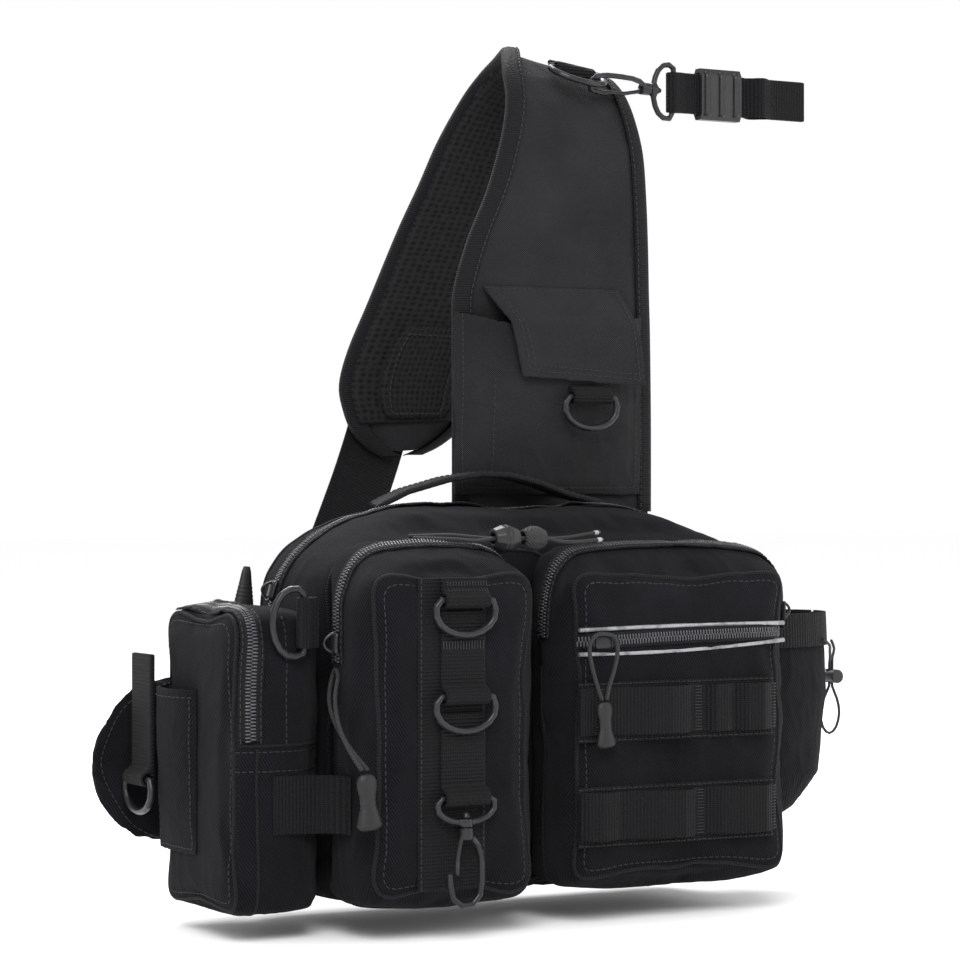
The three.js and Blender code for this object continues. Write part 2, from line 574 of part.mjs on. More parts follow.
// Webbing folded round a ring's bar. The bar runs along X through the eye, and the tail runs up with its back
// flush with the back of the eye; layers says how many thicknesses the tail has.
const eyeRadius = 1.12 * (wire + air);
const eyeReach = eyeRadius + webbing.thickness;
function foldedTab(tail, layers = 2, width = webbing.width) {
  const front = eyeReach - layers * webbing.thickness;
  const shape = new THREE.Shape();
  shape.moveTo(eyeReach, tail);
  shape.lineTo(eyeReach, 0);
  shape.absarc(0, 0, eyeReach, 0, -1.25 * Math.PI, true);
  shape.lineTo(front, 1.45 * eyeReach);
  shape.lineTo(front, tail);
  shape.closePath();
  const hole = new THREE.Path();
  hole.absarc(0, 0, eyeRadius, 0, 2 * Math.PI, false);
  shape.holes.push(hole);
  return extruded(shape, width, yDir, zDir, xDir, v(-width / 2, 0, 0), 5);
}

// Turned about the axes in X, Y, Z order and then moved.
function placed(geometry, at, turn = [0, 0, 0]) {
  const moved = geometry.clone();
  moved.applyMatrix4(new THREE.Matrix4().makeRotationFromEuler(new THREE.Euler(...turn)));
  moved.translate(at.x, at.y, at.z);
  return moved;
}
function inFrame(geometry, frame) {
  const moved = geometry.clone();
  moved.applyMatrix4(frame);
  return moved;
}

// Webbing chain on the left pocket, from a wide base strip outwards
const leftFace = -leftPocket.depth - air;
const daisy = { middle: -79, left: -103.5, right: -65, foot: 13, head: 166, upperBar: 155, lowerBar: 108, hookBar: 58.5 };
const daisyFace = leftFace - webbing.thickness - air;
const daisyBar = daisyFace - eyeReach;
const strip = (left, right, foot, head, face) => {
  const y = face - webbing.thickness / 2;
  return slab([[v(left, y, foot), v(right, y, foot)], [v(left, y, head), v(right, y, head)]], webbing.thickness);
};
const daisyStrip = strip(daisy.left, daisy.right, daisy.foot, daisy.head, leftFace);
const onDaisy = (geometry, height) => placed(geometry, v(daisy.middle, daisyBar, height));

// Swivel ring: a ring whose bow carries a boss, and the hook whose post turns in it
const swivel = { boss: 3.5, bossLength: 4.2, post: 1.3, collar: 3.6, knob: 2.4, slim: 0.9 };
function lathe(profile, sides = 12) {
  const geometry = new THREE.LatheGeometry(profile.map(([r, z]) => new THREE.Vector2(r, z)), sides);
  geometry.rotateX(Math.PI / 2);
  return solid(geometry);
}
const disc = (radius, low, high) => lathe([[0, low], [radius, low], [radius, high], [0, high]]);
function swivelRing(path, low) {
  const half = swivel.bossLength / 2;
  const boss = disc(swivel.boss, low - half, low + half);
  const bore = disc(swivel.post + 1.3 * air, low - 2 * half, low + 2 * half);
  return geometryOf(solid(wireLoop(path, wire * swivel.slim, yDir)).add(boss).subtract(bore));
}
// Snap hook hanging from its post: collar, open hook and a sprung gate, all in one plane; low is the boss's middle
// and gateOut the share of the hook's half width at which the gate closes.
function snapHook(low, length, width, gateOut) {
  const half = swivel.bossLength / 2;
  const top = low - half - 1.2 * air;
  const rod = wire * 0.85;
  const knobAt = low + half + air;
  const [side, foot] = [width / 2 - rod, top - length + rod];
  const bend = [];
  for (let i = 0; i <= 6; i++) {
    const angle = -(i / 6) * Math.PI;
    bend.push(v(side * Math.cos(angle), 0, foot + side + side * Math.sin(angle)));
  }
  const hook = tube([v(0.3 * side, 0, top - 4), v(0.75 * side, 0, top - 8), v(side, 0, top - 14), ...bend,
    v(-side * 1.1, 0, foot + side + 8)], rod, 6, 1);
  const gate = tube([v(-0.3 * side, 0, top - 4), v(-0.9 * gateOut * side, 0, top - 0.35 * length),
    v(-gateOut * side, 0, foot + side + 7)], rod * 0.8, 6, 1);
  return geometryOf(disc(swivel.collar, top - 6, top)
    .add(disc(swivel.post, top - 1, knobAt + 1))
    .add(lathe([[0, knobAt], [swivel.knob, knobAt], [swivel.knob * 0.5, knobAt + 2.6], [0, knobAt + 3.2]]))
    .add(solid(hook)).add(solid(gate)));
}
const hookRingSize = { width: 36, height: 16, corner: 2.8 };
const hookRingLow = -(hookRingSize.height - 2 * wire);
const hookLength = 40;

// Loop rows on the right pocket: stand is how far the webbing stands off its base strip, along the pocket's width
const rightFace = -rightPocket.depth - air;
const rowSpan = { left: -8, right: 111 };
const rowFace = rightFace - webbing.thickness - air;
function loopRow(low, waves) {
  const y = (stand) => rowFace - webbing.thickness / 2 - stand;
  return slab(waves.map(({ x, stand }) => [v(x, y(stand), low), v(x, y(stand), low + webbing.width)]), webbing.thickness);
}
const molle = { strip: 31, upper: 81, lower: 28, inset: 3.5 };
const upperWaves = [
  { x: rowSpan.left, stand: 0 }, { x: 12, stand: 0 }, { x: 20, stand: 1.6 }, { x: 32, stand: 5 }, { x: 43, stand: 7 },
  { x: 51, stand: 6.6 }, { x: 55, stand: 4.2 }, { x: 57, stand: 0.8 }, { x: 60, stand: 0 }, { x: 67, stand: 0 },
  { x: 72, stand: 3.6 }, { x: 79, stand: 3.8 }, { x: 84, stand: 0.3 }, { x: 91, stand: 4.6 }, { x: 100, stand: 6.4 },
  { x: 105, stand: 4 }, { x: 107, stand: 0.6 }, { x: rowSpan.right, stand: 0 },
];
const lowerWaves = [
  { x: rowSpan.left, stand: 0 }, { x: -4, stand: 2.6 }, { x: 4, stand: 4.4 }, { x: 11, stand: 3.4 }, { x: 15, stand: 0.3 },
  { x: 24, stand: 2 }, { x: 38, stand: 6 }, { x: 50, stand: 8.4 }, { x: 56, stand: 7 }, { x: 58.5, stand: 2 },
  { x: 61, stand: 0 }, { x: 66, stand: 0 }, { x: 76, stand: 3.6 }, { x: 90, stand: 6.4 }, { x: 101, stand: 7.2 },
  { x: 105, stand: 5 }, { x: 107, stand: 0.8 }, { x: rowSpan.right, stand: 0 },
];

// Stash zip on the right pocket: a lens between two reflective pipings
const stash = { left: -7.5, right: 117.5, leftLow: 126, rightLow: 130.5, leftHigh: 138.2, rightHigh: 139.4, sag: 1.6, bead: 1.1 };
const stashLow = (t) => stash.leftLow + t * (stash.rightLow - stash.leftLow) - stash.sag * Math.sin(Math.PI * t);
const stashHigh = (t) => stash.leftHigh + t * (stash.rightHigh - stash.leftHigh) + 0.3 * stash.sag * Math.sin(Math.PI * t);
const stashX = (t) => stash.left + t * (stash.right - stash.left);
const stashSteps = [0, 0.125, 0.25, 0.375, 0.5, 0.625, 0.75, 0.875, 1];
const stashZip = slab(stashSteps.map((t) => {
  const y = rightFace - 0.7;
  const margin = stash.bead + air;
  return [v(stashX(t), y, stashLow(t) + margin), v(stashX(t), y, stashHigh(t) - margin)];
}), 1.4);
const piping = (height) => tube(stashSteps.map((t) => v(stashX(t), rightFace - stash.bead, height(t))), stash.bead, 8, 1);
const slider = { at: 6, width: 11, height: 7.5, thickness: 2.6 };
const sliderMiddle = (stashLow(0.1) + stashHigh(0.1)) / 2;
const sliderFace = rightFace - 1.4 - air;
const sliderBody = loft([{ deep: 0, share: 0.8 }, { deep: 0.3, share: 1 }, { deep: 0.75, share: 1 }, { deep: 1, share: 0.7 }]
  .map(({ deep, share }) => outline({
    left: slider.at - (share * slider.width) / 2, right: slider.at + (share * slider.width) / 2,
    foot: sliderMiddle - (share * slider.height) / 2, head: sliderMiddle + (share * slider.height) / 2,
    lowRun: 1.5, lowDrop: 1.5, leftRun: 1.5, leftDrop: 1.5, rightRun: 1.5, rightDrop: 1.5,
  }, 2).map(([a, b]) => v(a, sliderFace - deep * slider.thickness, b))));

// Grab handle: webbing arch standing on the body's top. Shares of its span and of its rise.
const handleTop = body.height - 3;
const handleSheet = slab([
  { along: -0.03, rise: -0.3 }, { along: 0.06, rise: 0.1 }, { along: 0.15, rise: 0.46 }, { along: 0.31, rise: 0.84 },
  { along: 0.43, rise: 1 }, { along: 0.55, rise: 0.98 }, { along: 0.67, rise: 0.74 }, { along: 0.79, rise: 0.38 },
  { along: 0.92, rise: 0.12 }, { along: 1.03, rise: -0.3 },
].map(({ along, rise }) => [0, 0.5, 1].map((share) => v(
  handle.left + along * (handle.right - handle.left),
  handle.back + (share - 0.5) * handle.width,
  handleTop + handle.rise * rise,
))), handle.thickness);
const handleArch = solid(handleSheet).subtract(landing);

// Elastic band from the side pocket's front round to the left pocket's side
const bandY = sidePocket.front - air - elastic.thickness / 2;
const bandEnd = leftPocketSections[2].left - 2 * air - elastic.thickness / 2;
const elasticSheet = slab([
  v(-165, bandY, 0), v(-158, bandY - 0.1, 0), v(-150, bandY - 1.2, 0), v(-142, bandY - 3.2, 0), v(bandEnd - 4.6, bandY - 7.4, 0),
  v(bandEnd - 2.2, bandY - 11, 0), v(bandEnd - 0.4, bandY - 15, 0), v(bandEnd - 0.4, bandY - 19, 0),
].map((p) => [p.clone().setZ(elastic.foot), p.clone().setZ(elastic.foot + elastic.height)]), elastic.thickness);

// Shoulder ring on the side pocket's front, its bar upright
const shoulderBar = { x: sideFace + 36, y: sidePocket.front + 0.6 * air - eyeReach, z: 144 };
const shoulderTurn = [0, Math.PI / 2, 0];

// Tab and ring behind the tool sleeve
const rearTab = { x: sideFace - 11, y: 73, z: 63, tail: 63 };
const rearTurn = [0, 0, -Math.PI / 2];

// Pouch tab and ring under the flap
const pouchRing = { x: 67, z: 259.6, tail: 6.2 };
const pouchBarY = strapFace - 0.955 * pouch.bulge - pouch.thickness - air - eyeReach;

// Frame on the strap's crown: X across the strap, Y into it, Z up along it
const crownAt = 8.1;
const crownShare = 0.53;
const crownFrame = (() => {
  const [low, part] = [Math.floor(crownAt), crownAt % 1];
  const across = (k) => strapLines[k][0].clone().lerp(strapLines[k][1], crownShare);
  const out = strapOut[low].clone().lerp(strapOut[low + 1], part).normalize();
  const side = strapLines[low][1].clone().sub(strapLines[low][0]).normalize();
  side.addScaledVector(out, -side.dot(out)).normalize();
  const inward = out.clone().negate();
  const stand = strap.thickness / 2 + air + eyeReach;
  const origin = across(low).lerp(across(low + 1), part).addScaledVector(out, stand + 0.6);
  return new THREE.Matrix4().makeBasis(side, inward, side.clone().cross(inward)).setPosition(origin);
})();
const crownTilt = -0.3; // the ring hangs a little off the strap
const crownRing = placed(dRing(), v(0, 0, 0), [crownTilt, 0, 0]);

// Rod holder: a snap hook round the crown ring's right leg, its swivel ring and a webbing strap with a slide.
// The hook is turned about its length so that one side passes before the leg and the other behind it.
const ringLeg = v(0.4 * ring.width, 0, -0.52 * ring.height)
  .applyEuler(new THREE.Euler(crownTilt, 0, 0)).applyMatrix4(crownFrame);
const rodHook = { boss: 121.2, length: 41, width: 15, drop: 0.04, turn: Math.PI + 0.8 };
const lieDown = (turn) => new THREE.Matrix4().makeRotationY(Math.PI / 2 + rodHook.drop)
  .multiply(new THREE.Matrix4().makeRotationZ(turn))
  .setPosition(rodHook.boss, ringLeg.y, ringLeg.z - rodHook.drop * (rodHook.boss - ringLeg.x));
const rodHookSolid = inFrame(snapHook(0, rodHook.length, rodHook.width, 0.95), lieDown(rodHook.turn));
const rodRingSize = { width: 34.5, height: 17, corner: 1.8 };
const rodRingReach = rodRingSize.height - 2 * wire;
const rodRing = inFrame(swivelRing(
  ringPath(rodRingSize, ringSteps).map((p) => p.add(v(0, 0, rodRingReach))), 0), lieDown(0));
const farBar = v(0, 0, rodRingReach).applyMatrix4(lieDown(0));
const rodStrap = { width: 23, length: 90, opening: 11, openingAt: 57, stand: 6.2, slideAt: 30.5, slideLength: 27 };
const rodStrapShape = (() => {
  const skin = webbing.thickness;
  const half = (x) => {
    const near = Math.max(0, 1 - Math.abs(x - rodStrap.openingAt) / rodStrap.opening);
    return skin + 0.05 + rodStrap.stand * near * near * (3 - 2 * near);
  };
  const stations = [2 * eyeReach, rodStrap.openingAt - rodStrap.opening];
  for (let k = -4; k <= 4; k++) stations.push(rodStrap.openingAt + (k / 5) * rodStrap.opening);
  stations.push(rodStrap.openingAt + rodStrap.opening, rodStrap.length);
  const shape = new THREE.Shape();
  shape.absarc(0, 0, eyeReach, 0.25 * Math.PI, 1.75 * Math.PI, false);
  stations.forEach((x) => shape.lineTo(x, -half(x)));
  stations.slice().reverse().forEach((x) => shape.lineTo(x, half(x)));
  shape.closePath();
  const hole = new THREE.Path();
  hole.absarc(0, 0, eyeRadius, 0, 2 * Math.PI, true);
  const gap = stations.filter((x) => half(x) - skin > 0.4);
  const rodHole = new THREE.Path();
  gap.forEach((x, i) => (i === 0 ? rodHole.moveTo(x, half(x) - skin) : rodHole.lineTo(x, half(x) - skin)));
  gap.slice().reverse().forEach((x) => rodHole.lineTo(x, skin - half(x)));
  rodHole.closePath();
  shape.holes.push(hole, rodHole);
  return shape;
})();
const rodStrapOrigin = v(farBar.x, farBar.y, farBar.z - rodStrap.width / 2);
const rodStrapSheet = extruded(rodStrapShape, rodStrap.width, xDir, yDir, zDir, rodStrapOrigin, 5);
const rodSlide = (() => {
  const [high, deep, lip] = [rodStrap.width / 2 + 0.6, webbing.thickness + 0.5, 2.4];
  const shape = polygon([
    [-deep - lip, 1 - high], [-deep - 0.5, -high - lip], [deep + 0.5, -high - lip], [deep + lip, 1 - high],
    [deep + lip, high - 1], [deep + 0.5, high + lip], [-deep - 0.5, high + lip], [-deep - lip, high - 1],
  ]);
  const hole = new THREE.Path();
  hole.moveTo(-deep, -high);
  hole.lineTo(-deep, high);
  hole.lineTo(deep, high);
  hole.lineTo(deep, -high);
  hole.closePath();
  shape.holes.push(hole);
  const at = v(farBar.x + rodStrap.slideAt - rodStrap.slideLength / 2, farBar.y, farBar.z);
  return extruded(shape, rodStrap.slideLength, yDir, zDir, xDir, at);
})();

// Rubber pull hanging from its top edge, where its cord's two ends are moulded in. Shares of its length and section.
function pullGrip(scale = 1) {
  const [wide, long, deep] = [grip.width * scale, grip.length * scale, grip.thickness];
  return loft([
    { down: 0, across: 0.5, through: 0.7 }, { down: 0.12, across: 0.74, through: 1 }, { down: 0.3, across: 0.78, through: 1 },
    { down: 0.7, across: 0.95, through: 0.9 }, { down: 0.94, across: 1, through: 0.8 }, { down: 1, across: 0.84, through: 0.6 },
  ].map(({ down, across, through }) => {
    const [halfWide, halfDeep] = [(across * wide) / 2, (through * deep) / 2];
    const round = 0.6 * halfDeep;
    return outline({
      left: -halfWide, right: halfWide, foot: -halfDeep, head: halfDeep,
      lowRun: round, lowDrop: round, leftRun: round, leftDrop: round, rightRun: round, rightDrop: round,
    }, 1).map(([a, b]) => v(a, b, -down * long));
  }));
}

// Beads that cords run through, turned about X
function bead(radius, bore, length, squash = 1) {
  const half = length / 2;
  const profile = [[bore, -half], [0.72 * radius, -half], [radius, -0.3 * half], [radius, 0.3 * half], [0.72 * radius, half],
    [bore, half], [bore, -half]];
  const geometry = new THREE.LatheGeometry(profile.map(([r, z]) => new THREE.Vector2(r, z)), 10);
  geometry.rotateZ(-Math.PI / 2);
  geometry.scale(1, 1, squash);
  return facingOut(trimmed(geometry));
}

// Cords: routes chosen by hand
const shockRoutes = [
  [v(-87, -13.4, 185.6), v(-78, -14.6, 185.7), v(-66, -18, 186), v(-56, -23, 185), v(-48, -26.72, 184.4), v(-40, -26.72, 184.3),
    v(-32, -26.72, 184.3), v(-23.5, -26.72, 184.3), v(-16, -26.4, 183.9), v(-8, -24.5, 184), v(3, -21.5, 184.6), v(12, -20, 185.8),
    v(21, -19, 187)],
  [v(-87, -18.4, 184.6), v(-78, -19.6, 184.4), v(-66, -23.4, 184), v(-56, -27.6, 183.2), v(-48, -29.28, 184.2),
    v(-40, -29.28, 184.3), v(-32, -29.28, 184.3), v(-23.5, -29.28, 184.3), v(-16, -29.28, 184.2), v(-8, -28.4, 182.6),
    v(3, -26.6, 182.2), v(11, -25.4, 182.6), v(19.5, -24.6, 183.4)],
];
const stashRoute = [
  v(2.6, -51.8, 103), v(-0.4, -51.2, 112), v(-3, -51.1, 121), v(-4.2, -51.1, 130), v(-0.6, -51.2, 135.6), v(5, -51.3, 136.2),
  v(10.6, -51.2, 134.4), v(12.4, -51.1, 128), v(10.6, -51.1, 119), v(7.4, -51.2, 110), v(5.4, -51.8, 103),
];
const sideRoute = [
  v(-134.6, -55.5, 74), v(-138.6, -49, 84), v(-139.8, -40, 96), v(-136.4, -30, 108), v(-131.6, -23.8, 117), v(-131, -19.6, 120.6),
  v(-131.4, -16.4, 116), v(-135.6, -22, 105), v(-137.6, -34, 94), v(-135.4, -46, 83), v(-131.6, -55.5, 74),
];
const drawRoute = [
  v(188.8, 17.2, 126.5), v(196.9, 22.5, 122.8), v(204.4, 32.6, 119), v(210.2, 40.4, 114.6),
  v(213.2, 45.2, 110.8), v(213.2, 45.2, 104), v(213, 45.4, 98), v(209.6, 45.8, 91), v(207.6, 46, 83), v(209.4, 46, 75),
  v(213.8, 46, 71.6), v(218.4, 46, 75), v(220.6, 46, 83), v(219, 46, 91), v(215.6, 45.8, 98), v(215.4, 45.6, 104),
  v(215.4, 45.6, 110.8), v(213, 42, 115), v(207.7, 33, 120.2), v(203.6, 30.2, 125),
];
const drawCord = { radius: 0.8 };
const toggleSize = { radius: 4, bore: 2.55, length: 14 };
const toggleSolid = (() => {
  const barrel = disc(toggleSize.radius, -toggleSize.length / 2, toggleSize.length / 2);
  const bore = new THREE.CylinderGeometry(toggleSize.bore, toggleSize.bore, 4 * toggleSize.radius, 12);
  const body = geometryOf(barrel.subtract(solid(bore)));
  return placed(body, v(214.3, 45.4, 104), [Math.PI / 2, 0, 0]);
})();

// Pieces
const bag = new THREE.Group();
bag.position.copy(hang).negate();
function piece(name, geometry, material) {
  const mesh = new THREE.Mesh(geometry, material);
  mesh.name = name;
  bag.add(mesh);
}

piece('main_shell', mainBody.shell, oxford);
piece('main_zip', mainBody.zip, zipCoil);
piece('back_panel', backPanel, meshCloth);
piece('grab_handle', geometryOf(handleArch), ribbed);
const mainPull = { scale: 0.85, out: 9, back: 63, top: 170, tilt: 0.35 };
const mainPullAt = v(-body.width / 2 - mainPull.out, mainPull.back, mainPull.top);
piece('main_pull_grip', placed(pullGrip(mainPull.scale), mainPullAt, [0, mainPull.tilt, 0]), rubber);

piece('front_left_pocket', frontLeft.shell, oxford);
piece('front_left_zip', frontLeft.zip, zipCoil);
piece('daisy_base_strip', daisyStrip, ribbed);
piece('daisy_upper_tab', onDaisy(foldedTab(daisy.head - daisy.upperBar), daisy.upperBar), ribbed);
piece('daisy_upper_ring', onDaisy(dRing(), daisy.upperBar), hardPlastic);
piece('daisy_middle_webbing', onDaisy(foldedTab(daisy.upperBar - daisy.lowerBar - 5, 1), daisy.lowerBar), ribbed);
piece('daisy_lower_ring', onDaisy(dRing(), daisy.lowerBar), hardPlastic);
piece('hook_webbing', onDaisy(foldedTab(daisy.lowerBar - daisy.hookBar - 8, 1), daisy.hookBar), ribbed);
piece('hook_ring', onDaisy(swivelRing(ringPath(hookRingSize, ringSteps), hookRingLow), daisy.hookBar), hardPlastic);
piece('front_snap_hook', onDaisy(snapHook(hookRingLow, hookLength, 20, 0.62), daisy.hookBar), hardPlastic);
piece('left_pull_cord', tube(sideRoute, cord.radius), cordCover);
piece('left_pull_grip', placed(pullGrip(1.15), v(-133, -56.4, 72.4), [0, -0.16, 0]), rubber);

piece('front_right_pocket', frontRight.shell, oxford);
piece('front_right_zip', frontRight.zip, zipCoil);
piece('stash_zip', stashZip, zipCoil);
piece('upper_piping', piping(stashHigh), reflective);
piece('lower_piping', piping(stashLow), reflective);
piece('stash_slider', sliderBody, hardPlastic);
piece('stash_pull_cord', tube(stashRoute, cord.radius), cordCover);
piece('stash_pull_grip', placed(pullGrip(), v(4, -51.8, 102.1), [0, -0.05, 0]), rubber);
piece('upper_loop_strip', strip(rowSpan.left, rowSpan.right, molle.upper, molle.upper + molle.strip, rightFace), ribbed);
piece('upper_loops', loopRow(molle.upper + molle.inset, upperWaves), ribbed);
piece('lower_loop_strip', strip(rowSpan.left, rowSpan.right, molle.lower, molle.lower + molle.strip, rightFace), ribbed);
piece('lower_loops', loopRow(molle.lower + molle.inset, lowerWaves), ribbed);

piece('left_side_pocket', leftSide.shell, oxford);
piece('left_side_zip', leftSide.zip, zipCoil);
piece('tool_sleeve', sleeveSheet, oxford);
piece('elastic_band', elasticSheet, ribbed);
piece('shoulder_ring_tab', placed(foldedTab(9), v(shoulderBar.x, shoulderBar.y, shoulderBar.z), shoulderTurn), ribbed);
piece('shoulder_ring', placed(dRing(), v(shoulderBar.x, shoulderBar.y, shoulderBar.z), shoulderTurn), hardPlastic);
piece('left_wing', wingSheet, oxford);
piece('rear_ring_tab', placed(foldedTab(rearTab.tail), v(rearTab.x, rearTab.y, rearTab.z), rearTurn), ribbed);
piece('rear_ring', placed(dRing(), v(rearTab.x, rearTab.y, rearTab.z), rearTurn), hardPlastic);

piece('bottle_pocket', geometryOf(bottleCloth), oxford);
piece('bottle_pocket_channel', geometryOf(channelBand), oxford);
piece('draw_cord', tube(drawRoute, drawCord.radius, cord.sides, 1), cordCover);
piece('draw_cord_toggle', toggleSolid, hardPlastic);

shockRoutes.forEach((route, i) => piece(`shock_cord_${i + 1}`, tube(route, cord.radius), cordCover));
piece('shock_cord_lock', placed(bead(lock.radius, lock.bore, lock.length), v(-40, -28, 184.3)), rubber);
piece('shock_cord_knot', placed(bead(6.4, lock.bore + 0.2, 12.5), v(-23.5, -28, 184.3)), cordCover);

piece('shoulder_strap', geometryOf(strapPad), strapCloth);
piece('strap_mesh_lining', meshPad, meshCloth);
piece('strap_webbing', rearSheet, ribbed);
piece('strap_pouch', pouchSheet, strapCloth);
piece('pouch_flap', flapSheet, strapCloth);
piece('pouch_ring_tab', placed(foldedTab(pouchRing.tail), v(pouchRing.x, pouchBarY, pouchRing.z)), ribbed);
piece('pouch_ring', placed(dRing(), v(pouchRing.x, pouchBarY, pouchRing.z)), hardPlastic);
piece('crown_ring_tab', inFrame(foldedTab(10), crownFrame), ribbed);
piece('crown_ring', inFrame(crownRing, crownFrame), hardPlastic);
piece('rod_snap_hook', rodHookSolid, hardPlastic);
piece('rod_swivel_ring', rodRing, hardPlastic);
piece('rod_strap', rodStrapSheet, ribbed);
piece('rod_strap_slide', rodSlide, hardPlastic);

export default bag;
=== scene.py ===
import math

import bmesh
import bpy
import numpy as np
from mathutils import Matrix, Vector, noise
from mathutils.bvhtree import BVHTree


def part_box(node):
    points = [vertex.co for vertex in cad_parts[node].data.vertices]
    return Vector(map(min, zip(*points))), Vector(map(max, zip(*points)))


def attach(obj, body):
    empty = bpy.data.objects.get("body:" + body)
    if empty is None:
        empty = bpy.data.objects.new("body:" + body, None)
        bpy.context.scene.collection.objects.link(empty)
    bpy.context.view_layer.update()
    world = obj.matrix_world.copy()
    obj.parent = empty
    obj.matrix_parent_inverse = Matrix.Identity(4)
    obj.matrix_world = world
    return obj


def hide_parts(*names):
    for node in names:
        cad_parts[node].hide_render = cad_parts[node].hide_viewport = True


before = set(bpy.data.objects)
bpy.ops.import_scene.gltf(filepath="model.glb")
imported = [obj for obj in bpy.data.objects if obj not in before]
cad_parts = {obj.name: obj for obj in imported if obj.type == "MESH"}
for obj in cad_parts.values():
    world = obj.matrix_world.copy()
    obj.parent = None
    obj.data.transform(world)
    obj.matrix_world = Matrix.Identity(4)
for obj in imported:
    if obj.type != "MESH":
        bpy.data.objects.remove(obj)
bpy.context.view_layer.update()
print("frame loaded")

# Sizes below are millimetres in the bag's own frame: x from the middle of the body, y back from its front
# seam, z up from its base. The frame's origin is the point under the strap's crown where the bag hangs.
hangPoint = Vector((83.829, 138.755, 444.078))


def toFrame(p):
    return (Vector(p) - hangPoint) / 1000


# camera, light and floor
cameraSettings = {"target": (-38.6, 0, 214.9), "distance": 1550, "azimuth": -29.36, "elevation": -0.29,
                  "lens": 113.7, "sensor": 36}
lightSettings = {"world": 1.0, "middle": (0, 0, 200), "lamps": {
    "keyLight": {"power": 42, "size": 1.1, "place": (-0.9, -1.5, 1.3)},
    "fillLight": {"power": 9, "size": 1.1, "place": (1.5, -1.2, 0.6)},
    "rimLight": {"power": 46, "size": 1.0, "place": (0.2, 1.2, 1.6)}}}
floorSettings = {"drop": 12, "size": 24, "colour": (0.99, 0.99, 0.99, 1), "roughness": 0.9}


def aim(obj, place, target):
    obj.location = place
    obj.rotation_euler = (target - place).to_track_quat("-Z", "Y").to_euler()


def makeCamera(settings):
    camera = bpy.data.objects.new("camera", bpy.data.cameras.new("camera"))
    bpy.context.scene.collection.objects.link(camera)
    camera.data.lens = settings["lens"]
    camera.data.sensor_width = settings["sensor"]
    turn, tilt = math.radians(settings["azimuth"]), math.radians(settings["elevation"])
    away = Vector((math.sin(turn) * math.cos(tilt), -math.cos(turn) * math.cos(tilt), math.sin(tilt)))
    target = toFrame(settings["target"])
    aim(camera, target + away * settings["distance"] / 1000, target)
    bpy.context.scene.camera = camera


def areaLight(name, power, size, place, target):
    light = bpy.data.objects.new(name, bpy.data.lights.new(name, "AREA"))
    bpy.context.scene.collection.objects.link(light)
    light.data.energy = power
    light.data.size = size
    aim(light, place, target)


def makeStudio(settings, floor):
    world = bpy.data.worlds.new("studio")
    world.use_nodes = True
    world.node_tree.nodes["Background"].inputs["Color"].default_value = (1, 1, 1, 1)
    world.node_tree.nodes["Background"].inputs["Strength"].default_value = settings["world"]
    bpy.context.scene.world = world
    middle = toFrame(settings["middle"])
    for name, lamp in settings["lamps"].items():
        areaLight(name, lamp["power"], lamp["size"], middle + Vector(lamp["place"]), middle)
    half = floor["size"] / 2
    low = toFrame((0, 0, -floor["drop"])).z
    mesh = bpy.data.meshes.new("floor")
    mesh.from_pydata([(-half, -half, low), (half, -half, low), (half, half, low), (-half, half, low)], [],
                     [(0, 1, 2, 3)])
    obj = bpy.data.objects.new("floor", mesh)
    bpy.context.scene.collection.objects.link(obj)
    material = bpy.data.materials.new("floorPaper")
    material.use_nodes = True
    shader = material.node_tree.nodes["Principled BSDF"]
    shader.inputs["Base Color"].default_value = floor["colour"]
    shader.inputs["Roughness"].default_value = floor["roughness"]
    obj.data.materials.append(material)


makeCamera(cameraSettings)
makeStudio(lightSettings, floorSettings)
bpy.context.scene.view_settings.view_transform = "Standard"
print("camera, light and floor made")


# materials
def nodeTree(name):
    material = bpy.data.materials.new(name)
    material.use_nodes = True
    tree = material.node_tree
    return material, tree, tree.nodes["Principled BSDF"]


def mathNode(tree, operation, a, b=None):
    node = tree.nodes.new("ShaderNodeMath")
    node.operation = operation
    for socket, value in zip(node.inputs, (a, b)):
        if value is None:
            continue
        if isinstance(value, (int, float)):
            socket.default_value = value
        else:
            tree.links.new(value, socket)
    return node.outputs[0]


def blend(tree, first, share, second, otherShare):
    # weighted sum of two values
    scaled = mathNode(tree, "MULTIPLY", first, share)
    return mathNode(tree, "ADD", scaled, mathNode(tree, "MULTIPLY", second, otherShare))


def noiseNode(tree, vector, scale, detail):
    node = tree.nodes.new("ShaderNodeTexNoise")
    node.inputs["Scale"].default_value = scale
    node.inputs["Detail"].default_value = detail
    tree.links.new(vector, node.inputs["Vector"])
    return node.outputs["Fac"]


def tinted(tree, shader, value, colour, stops):
    # base colour along a value: each stop has a place and how many times the colour it is
    node = tree.nodes.new("ShaderNodeValToRGB")
    while len(node.color_ramp.elements) < len(stops):
        node.color_ramp.elements.new(0.5)
    for element, (place, times) in zip(node.color_ramp.elements, stops):
        element.position = place
        element.color = (*(min(1.0, c * times) for c in colour), 1)
    tree.links.new(value, node.inputs[0])
    tree.links.new(node.outputs["Color"], shader.inputs["Base Color"])


def roughened(tree, shader, value, spread, least):
    rough = mathNode(tree, "ADD", mathNode(tree, "MULTIPLY", value, spread), least)
    tree.links.new(rough, shader.inputs["Roughness"])


def setSockets(shader, values):
    for name, value in values.items():
        shader.inputs[name].default_value = value


def bumpNode(tree, shader, height, strength, distance):
    node = tree.nodes.new("ShaderNodeBump")
    node.inputs["Strength"].default_value = strength
    node.inputs["Distance"].default_value = distance
    tree.links.new(height, node.inputs["Height"])
    tree.links.new(node.outputs["Normal"], shader.inputs["Normal"])


